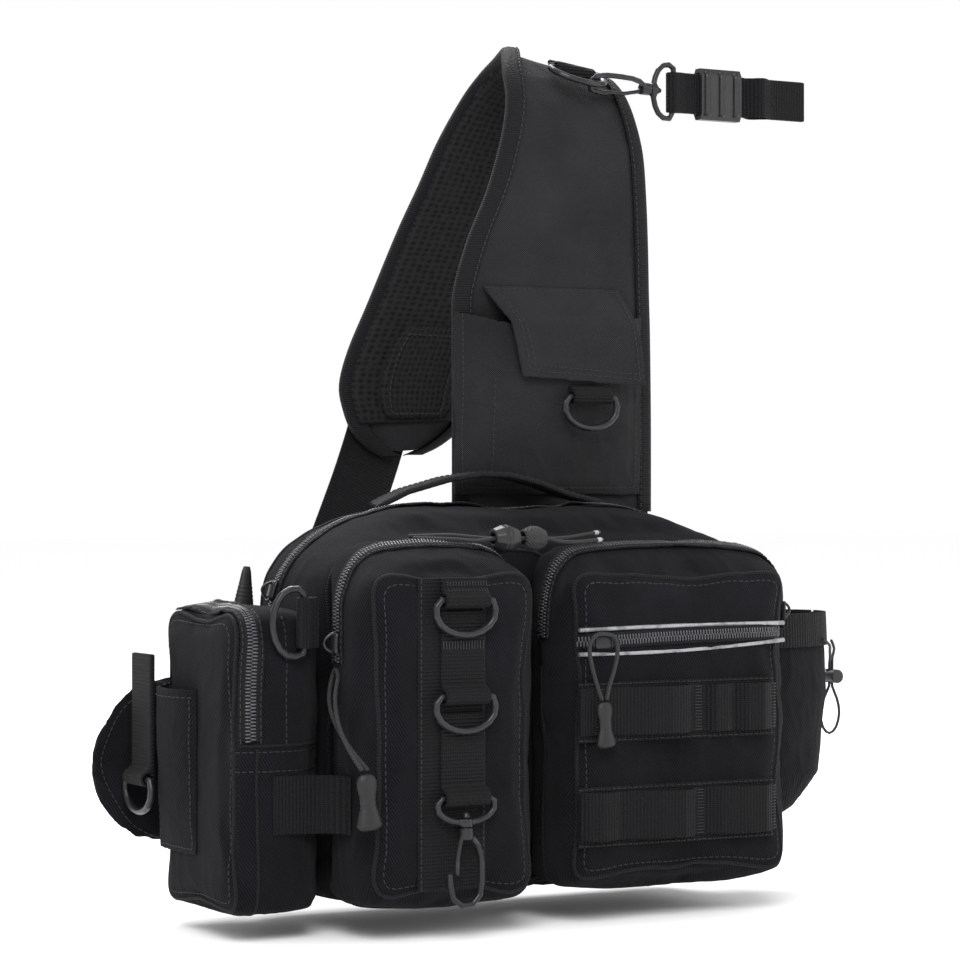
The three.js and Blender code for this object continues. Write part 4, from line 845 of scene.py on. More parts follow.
# cords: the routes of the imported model's own cords
cordSettings = {
    "cordShockUpper": {
        "node": "shock_cord_1", "radius": 1.1, "steps": 3, "lay": "taut",
        "route": [(-87, -13.4, 185.6), (-78, -14.6, 185.7), (-66, -18, 186), (-56, -23, 185),
                  (-48, -26.72, 184.4), (-40, -26.72, 184.3), (-32, -26.72, 184.3), (-23.5, -26.72, 184.3),
                  (-16, -26.4, 183.9), (-8, -24.5, 184), (3, -21.5, 184.6), (12, -20, 185.8), (21, -19, 187)],
    },
    "cordShockLower": {
        "node": "shock_cord_2", "radius": 1.1, "steps": 3, "lay": "taut",
        "route": [(-87, -18.4, 184.6), (-78, -19.6, 184.4), (-66, -23.4, 184), (-56, -27.6, 183.2),
                  (-48, -29.28, 184.2), (-40, -29.28, 184.3), (-32, -29.28, 184.3), (-23.5, -29.28, 184.3),
                  (-16, -29.28, 184.2), (-8, -28.4, 182.6), (3, -26.6, 182.2), (11, -25.4, 182.6),
                  (19.5, -24.6, 183.4)],
    },
    "cordStashPull": {
        "node": "stash_pull_cord", "radius": 1.1, "steps": 3, "lay": "hanging",
        "route": [(2.6, -51.8, 103), (-0.4, -51.2, 112), (-3, -51.1, 121), (-4.2, -51.1, 130),
                  (-0.6, -51.2, 135.6), (5, -51.3, 136.2), (10.6, -51.2, 134.4), (12.4, -51.1, 128),
                  (10.6, -51.1, 119), (7.4, -51.2, 110), (5.4, -51.8, 103)],
    },
    "cordLeftPull": {
        "node": "left_pull_cord", "radius": 1.1, "steps": 3, "lay": "hanging",
        "route": [(-134.6, -55.5, 74), (-138.6, -49, 84), (-139.8, -40, 96), (-136.4, -30, 108),
                  (-131.6, -23.8, 117), (-131, -19.6, 120.6), (-131.4, -16.4, 116), (-135.6, -22, 105),
                  (-137.6, -34, 94), (-135.4, -46, 83), (-131.6, -55.5, 74)],
    },
    "cordDraw": {
        "node": "draw_cord", "radius": 0.8, "steps": 2, "lay": "hanging",
        "route": [(188.8, 17.2, 126.5), (196.9, 22.5, 122.8), (204.4, 32.6, 119), (210.2, 40.4, 114.6),
                  (213.2, 45.2, 110.8), (213.2, 45.2, 104), (213, 45.4, 98), (209.6, 45.8, 91),
                  (207.6, 46, 83), (209.4, 46, 75), (213.8, 46, 71.6), (218.4, 46, 75), (220.6, 46, 83),
                  (219, 46, 91), (215.6, 45.8, 98), (215.4, 45.6, 104), (215.4, 45.6, 110.8), (213, 42, 115),
                  (207.7, 33, 120.2), (203.6, 30.2, 125)],
    },
}
for pieceName, settings in cordSettings.items():
    route = smoothCurve(settings["route"], settings["steps"])
    cord = tubeMesh(pieceName, route, settings["radius"], braidedCover, sides=12)
    rideAndName(cord, [settings["node"]])
print("cords made")

# body
bodySettings = {"voxel": 4.6, "pressure": 5, "cap": 3.4, "shrink": 1.5, "depth": 1.1, "crease": 34, "seed": 1,
                "fill": 0.6}
mainBody = softPiece("mainBody", ["main_shell", "main_zip"], oxfordCloth, bodySettings)
backSettings = {"voxel": 4, "pressure": 4, "cap": 3, "shrink": 1, "depth": 0.8, "crease": 26, "seed": 2,
                "fill": 0.5}
backCushion = softPiece("backCushion", ["back_panel"], backMesh, backSettings)
handleSettings = {"voxel": 1.1, "smooth": 3, "wholeMesh": True}
grabHandle = softPiece("grabHandle", ["grab_handle"], bindingCloth, handleSettings)
giveUv(grabHandle, (1, 0, 0), (0, 0, 1))
print("body made")

# pockets
pocketFill = {"pressure": 4, "cap": 2.2, "shrink": 1.2, "depth": 0.9, "fill": 0.6}
leftPocketSettings = {**pocketFill, "voxel": 3.2, "crease": 24, "seed": 3}
leftPocketFront = softPiece("leftPocketFront", ["front_left_pocket", "front_left_zip"], oxfordCloth,
                            leftPocketSettings)
rightPocketSettings = {**pocketFill, "voxel": 3.2, "crease": 26, "seed": 4}
rightPocketFront = softPiece("rightPocketFront", ["front_right_pocket", "front_right_zip", "stash_zip"],
                             oxfordCloth, rightPocketSettings)
sidePocketSettings = {**pocketFill, "voxel": 3, "crease": 22, "seed": 5}
sidePocketCase = softPiece("sidePocketCase", ["left_side_pocket", "left_side_zip"], oxfordCloth,
                           sidePocketSettings)
bottleSettings = {"voxel": 1.15, "smooth": 3, "depth": 0.9, "crease": 18, "seed": 6, "wholeMesh": True}
bottleCase = softPiece("bottleCase", ["bottle_pocket"], oxfordCloth, bottleSettings)
sleeveSettings = {"voxel": 0.95, "smooth": 3, "depth": 0.6, "crease": 16, "seed": 7, "wholeMesh": True}
toolSleeve = softPiece("toolSleeve", ["tool_sleeve"], oxfordCloth, sleeveSettings)
wingSettings = {"voxel": 1.9, "smooth": 10, "pressure": 5, "cap": 2.6, "shrink": 1, "depth": 0.9,
                "crease": 22, "seed": 8, "fill": 0.6, "wholeMesh": True}
leftWingPad = softPiece("leftWingPad", ["left_wing"], oxfordCloth, wingSettings)
print("pockets made")

# shoulder strap, its mesh underside, bindings, pouch and flap
strapSettings = {"voxel": 3.2, "pressure": 6, "cap": 1.7, "shrink": 1.1, "depth": 0.8, "crease": 30,
                 "seed": 9, "fill": 0.7, "wholeMesh": True}
softPiece("shoulderPad", ["shoulder_strap"], strapCloth, strapSettings)

strapSize = {"front": 86, "reach": 104, "middle": 56, "width": 124, "base": 202, "crown": 457, "steps": 5}
# back is a share of the reach; left and right of the width; the rises of the height
strapTable = [
    (0, -0.5, 0.5, -0.02, -0.02), (0, -0.5, 0.5, 0.18, 0.18), (0, -0.5, 0.495, 0.37, 0.37),
    (0, -0.495, 0.49, 0.45, 0.45), (0, -0.425, 0.485, 0.56, 0.56), (0, -0.325, 0.475, 0.67, 0.67),
    (0.005, -0.25, 0.46, 0.785, 0.765), (0.04, -0.21, 0.435, 0.87, 0.84), (0.13, -0.185, 0.43, 0.935, 0.895),
    (0.28, -0.12, 0.45, 0.98, 0.93), (0.5, -0.02, 0.49, 1, 0.945), (0.72, 0.04, 0.53, 0.99, 0.94),
    (0.88, 0.045, 0.54, 0.965, 0.915), (0.97, -0.005, 0.525, 0.915, 0.87), (1, -0.115, 0.49, 0.82, 0.79),
    (1, -0.22, 0.43, 0.715, 0.695), (1, -0.33, 0.36, 0.61, 0.595), (1, -0.48, 0.24, 0.45, 0.44),
    (1, -0.585, 0.15, 0.34, 0.335), (1, -0.63, 0.09, 0.262, 0.265), (1, -0.61, 0.05, 0.205, 0.212),
    (1, -0.565, -0.01, 0.157, 0.17), (1, -0.49, -0.12, 0.122, 0.13), (1, -0.42, -0.22, 0.104, 0.108),
]


def strapPoint(back, share, rise):
    across = strapSize["middle"] + share * strapSize["width"]
    deep = strapSize["front"] + back * strapSize["reach"]
    high = strapSize["base"] + rise * (strapSize["crown"] - strapSize["base"])
    return Vector((across, deep, high))


leftPoints = [strapPoint(back, left, rise) for back, left, _, rise, _ in strapTable]
rightPoints = [strapPoint(back, right, rise) for back, _, right, _, rise in strapTable]
strapLeft = smoothCurve(leftPoints, strapSize["steps"])
strapRight = smoothCurve(rightPoints, strapSize["steps"])
strapOut = []
for i in range(len(strapLeft)):
    ends = [(strapLeft[k] + strapRight[k]) / 2 for k in (max(i - 1, 0), min(i + 1, len(strapLeft) - 1))]
    strapOut.append((strapRight[i] - strapLeft[i]).cross(ends[1] - ends[0]).normalized())

liningSettings = {"margin": 0.05, "stand": -5.2, "thickness": 1.8, "puff": 0.9, "firstRow": 15,
                  "lastRow": 104, "columns": 17}
liningRows = []
for i in range(liningSettings["firstRow"], liningSettings["lastRow"]):
    line = []
    for t in np.linspace(0, 1, liningSettings["columns"]):
        share = liningSettings["margin"] + (1 - 2 * liningSettings["margin"]) * float(t)
        puff = liningSettings["puff"] * math.sin(math.pi * t) ** 0.5
        out = liningSettings["stand"] - puff + liningSettings["thickness"] / 2
        line.append(strapLeft[i].lerp(strapRight[i], share) + strapOut[i] * out)
    liningRows.append(line)
strapLining = slabMesh("strapLining", liningRows, liningSettings["thickness"], airMesh, edge=0.5)
rideAndName(strapLining, ["strap_mesh_lining"])

# how far in from the strap's edge, and how far out of its middle plane, from the face round to the underside
bindingSettings = {"profile": [(9, 3.9), (5.5, 3.6), (2, 3.0), (-0.4, 1.7), (-0.9, 0), (-0.4, -1.7),
                               (2, -3.0), (5.5, -3.6), (9, -3.9)],
                   "thickness": 0.8, "stitchIn": 7.6, "stitchOut": 4.5, "stitchSpacing": 3.5}
bindingLines = []
for side, edge, other in (("Left", strapLeft, strapRight), ("Right", strapRight, strapLeft)):
    rows, seam = [], []
    for p, q, out in zip(edge, other, strapOut):
        inward = (q - p).normalized()
        rows.append([p + inward * reach + out * rise for reach, rise in bindingSettings["profile"]])
        seam.append(p + inward * bindingSettings["stitchIn"] + out * bindingSettings["stitchOut"])
    binding = slabMesh("strapBinding" + side, rows, bindingSettings["thickness"], bindingCloth, edge=0.5)
    rideAndName(binding)
    bindingLines.append((seam, strapOut))
stitches("strapBindingStitches", bindingLines, bindingSettings["stitchSpacing"])

# the strap's end behind the pouch, down to the body
rootSettings = {"top": 214, "foot": 184, "depth": 85.6, "left": -4.6, "right": 116.6, "thickness": 4.6,
                "columns": 13, "rows": 8}
rootAcross = np.linspace(rootSettings["left"], rootSettings["right"], rootSettings["columns"])
rootRows = [[(x, rootSettings["depth"], z) for x in rootAcross]
            for z in np.linspace(rootSettings["top"], rootSettings["foot"], rootSettings["rows"])]
strapRoot = slabMesh("strapRoot", rootRows, rootSettings["thickness"], strapCloth, edge=0.6)
rideAndName(strapRoot)

# patch at the lower end of the underside, its corners rounded
patchSettings = {"first": 87, "last": 103, "left": 0.24, "right": 0.78, "stand": -7.5, "thickness": 0.7,
                 "corner": 0.22, "stitchLift": 0.6, "stitchSpacing": 3.3}
patchMiddle = (patchSettings["left"] + patchSettings["right"]) / 2
patchRows = []
for i in range(patchSettings["first"], patchSettings["last"]):
    end = abs(2 * (i - patchSettings["first"]) / (patchSettings["last"] - 1 - patchSettings["first"]) - 1)
    half = (patchSettings["right"] - patchSettings["left"]) / 2 * (1 - patchSettings["corner"] * end ** 6)
    row = [strapLeft[i].lerp(strapRight[i], patchMiddle + half * (k / 4 - 1)) for k in range(9)]
    patchRows.append([p + strapOut[i] * patchSettings["stand"] for p in row])
strapPatch = slabMesh("strapPatch", patchRows, patchSettings["thickness"], airMesh, edge=0.5)
rideAndName(strapPatch)
patchRing = ([row[1] for row in patchRows[1:-1]] + [patchRows[-2][k] for k in range(1, 8)]
             + [row[7] for row in patchRows[-2:0:-1]] + [patchRows[1][k] for k in range(7, 0, -1)])
patchWay = -strapOut[(patchSettings["first"] + patchSettings["last"]) // 2]
patchSeam = [p + patchWay * patchSettings["stitchLift"] for p in patchRing]
stitches("strapPatchStitches", [(patchSeam, [patchWay] * len(patchSeam))], patchSettings["stitchSpacing"])

pouchSettings = {"voxel": 1.1, "smooth": 5, "depth": 1.0, "crease": 24, "seed": 10, "fill": 0.5,
                 "wholeMesh": True}
strapPouch = softPiece("strapPouch", ["strap_pouch"], strapCloth, pouchSettings)
flapSettings = {"voxel": 0.9, "smooth": 4, "depth": 0.5, "crease": 20, "seed": 11, "wholeMesh": True,
                "flat": (0.088, 0.062)}
pouchFlap = softPiece("pouchFlap", ["pouch_flap"], strapCloth, flapSettings)
print("strap made")

# webbing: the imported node, the way along the weave and the way out of its face
webbingRemesh = {"voxel": 0.88, "smooth": 2}
webbingSettings = {
    "daisyBase": ("daisy_base_strip", (0, 0, 1), (0, -1, 0)),
    "daisyUpperTab": ("daisy_upper_tab", (0, 0, 1), (0, -1, 0)),
    "daisyMiddle": ("daisy_middle_webbing", (0, 0, 1), (0, -1, 0)),
    "hookWebbing": ("hook_webbing", (0, 0, 1), (0, -1, 0)),
    "loopStripUpper": ("upper_loop_strip", (1, 0, 0), (0, -1, 0)),
    "loopsUpper": ("upper_loops", (1, 0, 0), (0, -1, 0)),
    "loopStripLower": ("lower_loop_strip", (1, 0, 0), (0, -1, 0)),
    "loopsLower": ("lower_loops", (1, 0, 0), (0, -1, 0)),
    "sideElastic": ("elastic_band", (1, 0, 0), (0, -1, 0)),
    "shoulderRingTab": ("shoulder_ring_tab", (1, 0.3, 0), (0, -1, 0)),
    "rearRingTab": ("rear_ring_tab", (0, 0, 1), (1, 0, 0)),
    "pouchRingTab": ("pouch_ring_tab", (0, 0, 1), (0, -1, 0)),
    "crownRingTab": ("crown_ring_tab", (0, 0, 1), (0, -1, 0)),
    "rodStrap": ("rod_strap", (1, 0, 0), (0, -1, 0)),
    "bottleChannel": ("bottle_pocket_channel", (1, 1, 0), (1, -1, 0)),
}
webPieces = {}
for pieceName, (node, along, normal) in webbingSettings.items():
    piece = remeshed(pieceName, [node], webbingRemesh["voxel"], webbingRemesh["smooth"])
    giveUv(piece, along, normal)
    piece.data.materials.append(ribbedWebbing)
    piece.data.shade_smooth()
    webPieces[pieceName] = rideAndName(piece, [node])
print("webbing made")

rearWebbingSettings = {"thickness": 1.6, "steps": 6, "columns": 7, "lines": [
    ((-12.2, 194.8, 257.5), (24.2, 194.8, 246.5)), ((-17.5, 194.8, 239.5), (17.4, 194.8, 224.4)),
    ((-33.4, 186, 208.6), (-0.6, 186, 189.4)), ((-57.8, 172, 169.9), (-28.2, 172, 146)),
    ((-91.8, 154, 135.9), (-68.3, 154, 106)), ((-130, 133, 113.2), (-114, 133, 78.8)),
    ((-164.9, 115, 102.4), (-155.1, 115, 65.6)), ((-189.6, 105.4, 97.7), (-182.5, 105.4, 60.4))]}
rearSides = [smoothCurve([line[k] for line in rearWebbingSettings["lines"]], rearWebbingSettings["steps"])
             for k in (0, 1)]
rearShares = [float(t) for t in np.linspace(0, 1, rearWebbingSettings["columns"])]
rearRows = [[a.lerp(b, t) for t in rearShares] for a, b in zip(*rearSides)]
rearWebbing = slabMesh("rearWebbing", rearRows, rearWebbingSettings["thickness"], ribbedWebbing, edge=0.7)
rideAndName(rearWebbing, ["strap_webbing"])

# zips: tape over the slot, the coil's teeth and a line of stitches each side
zipSettings = {
    "mainZip": {"node": "main_zip", "piece": mainBody, "axis": 1, "width": 13},
    "leftZip": {"node": "front_left_zip", "piece": leftPocketFront, "axis": 1, "width": 11},
    "rightZip": {"node": "front_right_zip", "piece": rightPocketFront, "axis": 1, "width": 11},
    "sideZip": {"node": "left_side_zip", "piece": sidePocketCase, "axis": 0, "width": 12},
}
coilSettings = {"spacing": 2.0, "tape": 0.9, "lift": 0.1, "crown": 0.5, "toothLift": 1.7, "pitch": 0.85,
                "step": 1.3, "stitchIn": 1, "stitchLift": 1.15, "stitchSpacing": 3.4}
zipRoutes = {}
for zipName, settings in zipSettings.items():
    tree = surfaceTree(settings["piece"])
    outline = zipRoute(settings["piece"], settings["node"], settings["axis"])
    route, normals = nearRoute(tree, outline, spacing=coilSettings["spacing"])
    route = eased(route, 2)
    zipRoutes[zipName] = (route, normals)
    tape = ribbonMesh(zipName + "Tape", route, normals, settings["width"], coilSettings["tape"], zipTape,
                      lift=coilSettings["lift"], crown=coilSettings["crown"])
    rideAndName(tape)
    raised = [p + n * coilSettings["toothLift"] for p, n in zip(route, normals)]
    # the teeth take the coil's lighter grey, painted highlight for their glints
    repeatPiece(zipName + "Teeth", [(raised, normals)], toothPart, coilSettings["pitch"], zipCoil,
                turn=math.pi / 2, step=coilSettings["step"])
    sides = []
    for side in (-1, 1):
        aside = side * (settings["width"] / 2 - coilSettings["stitchIn"])
        shifted = []
        for i, (p, n) in enumerate(zip(route, normals)):
            way = (route[min(i + 1, len(route) - 1)] - route[max(i - 1, 0)]).normalized()
            shifted.append(p + way.cross(n).normalized() * aside + n * coilSettings["stitchLift"])
        sides.append((shifted, normals))
    stitches(zipName + "Stitches", sides, coilSettings["stitchSpacing"])

# sliders: a body over the teeth and a bridge for the pull, at the route's end nearest to a spot
sliderSettings = {"spots": {"mainZip": (-131, 60, 150), "leftZip": (-128, -22, 125),
                            "rightZip": (119, -24, 172)},
                  "start": 2, "long": 6, "width": 8.5, "thickness": 2, "crown": 0.7, "lift": 1.5, "foot": 1,
                  "bridge": 5.4, "wire": 0.75}
for zipName, spot in sliderSettings["spots"].items():
    route, normals = zipRoutes[zipName]
    if (route[0] - Vector(spot)).length > (route[-1] - Vector(spot)).length:
        route, normals = route[::-1], normals[::-1]
    first, last = sliderSettings["start"], sliderSettings["start"] + sliderSettings["long"]
    part, ups = route[first:last], normals[first:last]
    body = ribbonMesh(zipName + "Slider", part, ups, sliderSettings["width"], sliderSettings["thickness"],
                      hookLacquer, lift=sliderSettings["lift"], crown=sliderSettings["crown"])
    rideAndName(body)
    bridge = []
    for k in range(len(part)):
        arch = sliderSettings["bridge"] * math.sin(math.pi * k / (len(part) - 1)) ** 0.7
        bridge.append(part[k] + ups[k] * (sliderSettings["lift"] + sliderSettings["foot"] + arch))
    wire = tubeMesh(zipName + "Bridge", smoothCurve(bridge, 4), sliderSettings["wire"], hookLacquer, sides=8)
    rideAndName(wire)

stashSettings = {"left": -6, "right": 117, "middle": 55, "height": 134.2, "leftDrop": 2, "rightRise": 0.8,
                 "front": -60, "width": 8, "tape": 0.8, "lift": 0.1, "toothLift": 1.3, "pitch": 0.85,
                 "step": 1.2, "spacing": 2.5}
stashHeights = {"left": -stashSettings["leftDrop"], "middle": 0, "right": stashSettings["rightRise"]}
stashLine = [(stashSettings[spot], stashSettings["front"], stashSettings["height"] + rise)
             for spot, rise in stashHeights.items()]
stashRoute, stashNormals = castRoute(surfaceTree(rightPocketFront), smoothCurve(stashLine, 12), (0, 1, 0),
                                     spacing=stashSettings["spacing"])
stashTape = ribbonMesh("stashZipTape", stashRoute, stashNormals, stashSettings["width"],
                       stashSettings["tape"], zipTape, lift=stashSettings["lift"])
rideAndName(stashTape)
stashRaised = [p + n * stashSettings["toothLift"] for p, n in zip(stashRoute, stashNormals)]
# these teeth take the same lighter grey, painted highlight for their glints
repeatPiece("stashZipTeeth", [(stashRaised, stashNormals)], toothPart, stashSettings["pitch"], zipCoil,
            turn=math.pi / 2, step=stashSettings["step"])
print("zips made")

# rings, hooks and moulded parts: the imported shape, rounded
wireRemesh = {"voxel": 0.6, "smooth": 3}
wireSettings = {
    "daisyUpperRing": ("daisy_upper_ring", ringPlastic, "ring_plastic"),
    "daisyLowerRing": ("daisy_lower_ring", ringPlastic, "ring_plastic"),
    "hookRing": ("hook_ring", ringPlastic, "ring_plastic"),
    "shoulderRing": ("shoulder_ring", ringPlastic, "ring_plastic"),
    "rearRing": ("rear_ring", ringPlastic, "ring_plastic"),
    "pouchRing": ("pouch_ring", ringPlastic, "ring_plastic"),
    "crownRing": ("crown_ring", ringPlastic, "ring_plastic"),
    "frontSnapHook": ("front_snap_hook", hookLacquer, "hook_metal"),
    "rodSnapHook": ("rod_snap_hook", hookLacquer, "hook_metal"),
    "rodSwivelRing": ("rod_swivel_ring", hookLacquer, "hook_metal"),
    "stashSlider": ("stash_slider", hookLacquer, "hook_metal"),
    "shockCordLock": ("shock_cord_lock", slidePlastic, "ring_plastic"),
    "shockCordKnot": ("shock_cord_knot", braidedCover, "cord_cover"),
    "drawCordToggle": ("draw_cord_toggle", slidePlastic, "ring_plastic"),
}
for pieceName, (node, finish, slotName) in wireSettings.items():
    piece = remeshed(pieceName, [node], wireRemesh["voxel"], wireRemesh["smooth"])
    giveUv(piece, (0, 0, 1), (0, -1, 0))
    piece.data.materials.append(finish)
    piece.data.shade_smooth()
    rideAndName(piece, [node])


def fullTurn(steps):
    return [float(a) for a in np.linspace(0, 2 * math.pi, steps + 1)[:-1]]


# the knot's turns of cord, and ribs round the cord lock
knotSettings = {"centre": (-23.5, -28, 184.3), "reach": 4.6, "flat": 0.95, "radius": 1.1, "steps": 28,
                "tilts": (0.35, 1.15, 2.2)}
for i, tilt in enumerate(knotSettings["tilts"]):
    first = Vector((math.sin(tilt), 0, math.cos(tilt))) * knotSettings["reach"]
    second = Vector((0, 1, 0)) * (knotSettings["reach"] * knotSettings["flat"])
    loop = [Vector(knotSettings["centre"]) + first * math.cos(a) + second * math.sin(a)
            for a in fullTurn(knotSettings["steps"])]
    turn = tubeMesh(f"knotTurn{i + 1}", loop, knotSettings["radius"], braidedCover, sides=10, closed=True)
    rideAndName(turn)
lockSettings = {"centre": (-40, -28, 184.3), "ribs": (-3.4, 0, 3.4), "reach": 6.6, "taper": 0.28,
                "radius": 0.5, "steps": 32}
for i, offset in enumerate(lockSettings["ribs"]):
    reach = lockSettings["reach"] - abs(offset) * lockSettings["taper"]
    loop = [Vector(lockSettings["centre"]) + Vector((offset, reach * math.cos(a), reach * math.sin(a)))
            for a in fullTurn(lockSettings["steps"])]
    rib = tubeMesh(f"lockRib{i + 1}", loop, lockSettings["radius"], slidePlastic, sides=8, closed=True)
    rideAndName(rib)
print("rings and hooks made")

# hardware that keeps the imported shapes
finishes = {"rod_strap_slide": slidePlastic, "upper_piping": reflectiveFilm, "lower_piping": reflectiveFilm}
for node, material in finishes.items():
    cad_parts[node].data.materials.clear()
    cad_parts[node].data.materials.append(material)
print("hardware finished")


# welts round the pockets and the body
weltSettings = {
    "leftPocketWelt": {"piece": leftPocketFront, "axis": 1, "at": -48.6, "radius": 1.15},
    "rightPocketWelt": {"piece": rightPocketFront, "axis": 1, "at": -41.8, "radius": 1.15},
    "sidePocketWelt": {"piece": sidePocketCase, "axis": 0, "at": -181.8, "radius": 1.1},
    "bodyFrontWelt": {"piece": mainBody, "axis": 1, "at": 3.5, "radius": 1.1},
    "bodyBackWelt": {"piece": mainBody, "axis": 1, "at": 79, "radius": 1.2},
}


def easedOutline(settings, rounds):
    outline = sliceLoop(settings["piece"], settings["axis"], settings["at"])
    return eased(outline[:-1], rounds, closed=True)


for weltName, settings in weltSettings.items():
    outline = easedOutline(settings, 2)
    welt = tubeMesh(weltName, outline, settings["radius"], bindingCloth, sides=8, closed=True)
    rideAndName(welt)


def insetLoop(points, axis, by):
    # the loop drawn in towards its own inside by a distance, in the plane across the axis
    count = len(points)
    middle = sum(points, Vector()) / count
    inner = []
    for i, p in enumerate(points):
        way = (points[(i + 2) % count] - points[i - 2]).normalized()
        side = way.cross(Vector([1.0 if k == axis else 0.0 for k in range(3)]))
        inner.append(p + side * (by if side.dot(middle - p) > 0 else -by))
    return inner


# stitch line round each pocket's face, a little inside its welt
faceStitchSettings = {
    "leftPocketStitches": {"piece": leftPocketFront, "axis": 1, "at": -47, "way": (0, 1, 0), "inset": 5.5},
    "rightPocketStitches": {"piece": rightPocketFront, "axis": 1, "at": -40, "way": (0, 1, 0), "inset": 5.5},
    "sidePocketStitches": {"piece": sidePocketCase, "axis": 0, "at": -180, "way": (1, 0, 0), "inset": 5},
}
seamLift = 0.15
for stitchName, settings in faceStitchSettings.items():
    inner = insetLoop(easedOutline(settings, 4), settings["axis"], settings["inset"])
    face = surfaceTree(settings["piece"])
    stitches(stitchName, [castRoute(face, inner + inner[:1], settings["way"], seamLift)], 3.5)

# gusset seams: the lower part of each pocket's side, joined to the zip's ends
gussetSettings = {
    "leftGusset": {"piece": leftPocketFront, "axis": 1, "at": -22, "high": 104, "radius": 0.8},
    "rightGusset": {"piece": rightPocketFront, "axis": 1, "at": -20, "high": 120, "radius": 0.8},
    "sideGusset": {"piece": sidePocketCase, "axis": 0, "at": -172, "high": 84, "radius": 0.8},
}
for gussetName, settings in gussetSettings.items():
    loop = easedOutline(settings, 2)
    first = next(i for i in range(len(loop)) if loop[i].z <= settings["high"] < loop[i - 1].z)
    chain = []
    for k in range(len(loop)):
        p = loop[(first + k) % len(loop)]
        if p.z > settings["high"]:
            break
        chain.append(p)
    rideAndName(tubeMesh(gussetName, chain, settings["radius"], bindingCloth, sides=8))


def castSeams(seamName, settings):
    # stitch lines laid on one piece along its way
    tree = surfaceTree(settings["piece"])
    routes = [castRoute(tree, line, settings["way"], settings["lift"]) for line in settings["lines"]]
    stitches(seamName, routes, settings["spacing"])


flapSeams = {"piece": pouchFlap, "way": (0, 1, 0), "lift": seamLift, "spacing": 3.2, "slot": "strap_cloth",
             "lines": [[(14, 0, 317), (23.5, 0, 300), (28.5, 0, 273.5), (98.5, 0, 269.8), (95.5, 0, 299),
                        (91.5, 0, 317)],
                       [(16.5, 0, 315), (26.5, 0, 300), (31.5, 0, 276.5), (95.5, 0, 272.8)],
                       [(10.5, 0, 318.3), (93, 0, 318.3)]]}
castSeams("flapStitches", flapSeams)
pouchSeams = {"piece": strapPouch, "way": (0, 1, 0), "lift": seamLift, "spacing": 3.2, "slot": "strap_cloth",
              "lines": [[(-5, 0, 303), (-5, 0, 210), (105, 0, 210), (105, 0, 262)],
                        [(12, 0, 268), (12, 0, 212)]]}
castSeams("pouchStitches", pouchSeams)

stripSeams = {"strips": {"loopStripUpper": (81, 112), "loopStripLower": (28, 59)}, "left": -6.5,
              "right": 109.5, "margin": 1.4, "daisyAcross": (-101.5, -67), "daisyLow": 15,
              "daisyHigh": 164, "lift": 0.1, "spacing": 3.2}
stripLines = []
for stripName, (low, high) in stripSeams["strips"].items():
    strip = surfaceTree(webPieces[stripName])
    for z in (low + stripSeams["margin"], high - stripSeams["margin"]):
        line = [(stripSeams["left"], 0, z), (stripSeams["right"], 0, z)]
        stripLines.append(castRoute(strip, line, (0, 1, 0), stripSeams["lift"]))
daisyTree = surfaceTree(webPieces["daisyBase"])
for x in stripSeams["daisyAcross"]:
    line = [(x, 0, stripSeams["daisyLow"]), (x, 0, stripSeams["daisyHigh"])]
    stripLines.append(castRoute(daisyTree, line, (0, 1, 0), stripSeams["lift"]))
stitches("stripStitches", stripLines, stripSeams["spacing"])

# bar tacks where each loop of webbing comes back to its strip, and across the chain's webbing
tackSettings = {"loops": {"loopsUpper": (86, 108), "loopsLower": (33, 55)}, "left": -7, "right": 110,
                "touch": 0.5, "apart": 2.5, "half": 0.9, "lift": 0.1, "spacing": 1.5,
                "bars": {"daisyUpperTab": {"left": -101, "right": -67, "heights": (160, 163)},
                         "daisyMiddle": {"left": -90, "right": -68, "heights": (132, 134, 84, 86)}}}
tackLines = []
for loopName, (low, high) in tackSettings["loops"].items():
    loops = surfaceTree(webPieces[loopName])
    across = [(x, 0, (low + high) / 2) for x in (tackSettings["left"], tackSettings["right"])]
    spots, _ = castRoute(loops, across, (0, 1, 0), spacing=1.0)
    deepest = max(p.y for p in spots)
    near = [p.x for p in spots if p.y > deepest - tackSettings["touch"]]
    groups = [[near[0]]]
    for x in near[1:]:
        if x - groups[-1][-1] > tackSettings["apart"]:
            groups.append([])
        groups[-1].append(x)
    for group in groups:
        centre = sum(group) / len(group)
        for x in (centre - tackSettings["half"], centre + tackSettings["half"]):
            tackLines.append(castRoute(loops, [(x, 0, low), (x, 0, high)], (0, 1, 0), tackSettings["lift"]))
for barName, settings in tackSettings["bars"].items():
    bar = surfaceTree(webPieces[barName])
    for z in settings["heights"]:
        line = [(settings["left"], 0, z), (settings["right"], 0, z)]
        tackLines.append(castRoute(bar, line, (0, 1, 0), tackSettings["lift"]))
repeatPiece("barTacks", [line for line in tackLines if len(line[0]) > 2], stitchPart, tackSettings["spacing"],
            threadDark, turn=math.pi / 2)

bottleSeam = {"height": 126, "spacing": 3.5}
bottleRing = eased(sliceLoop(bottleCase, 2, bottleSeam["height"]), 2)
stitches("bottleStitches", [nearRoute(surfaceTree(bottleCase), bottleRing, seamLift)], bottleSeam["spacing"])
sleeveSeams = {"piece": toolSleeve, "way": (1, 0, 0), "lift": seamLift, "spacing": 3.3, "slot": "body_cloth",
               "lines": [[(-185, 25, 106), (-185, 64, 106)],
                         [(-185, 25, 104), (-185, 25, 31), (-185, 64, 31), (-185, 64, 104)]]}
castSeams("sleeveStitches", sleeveSeams)

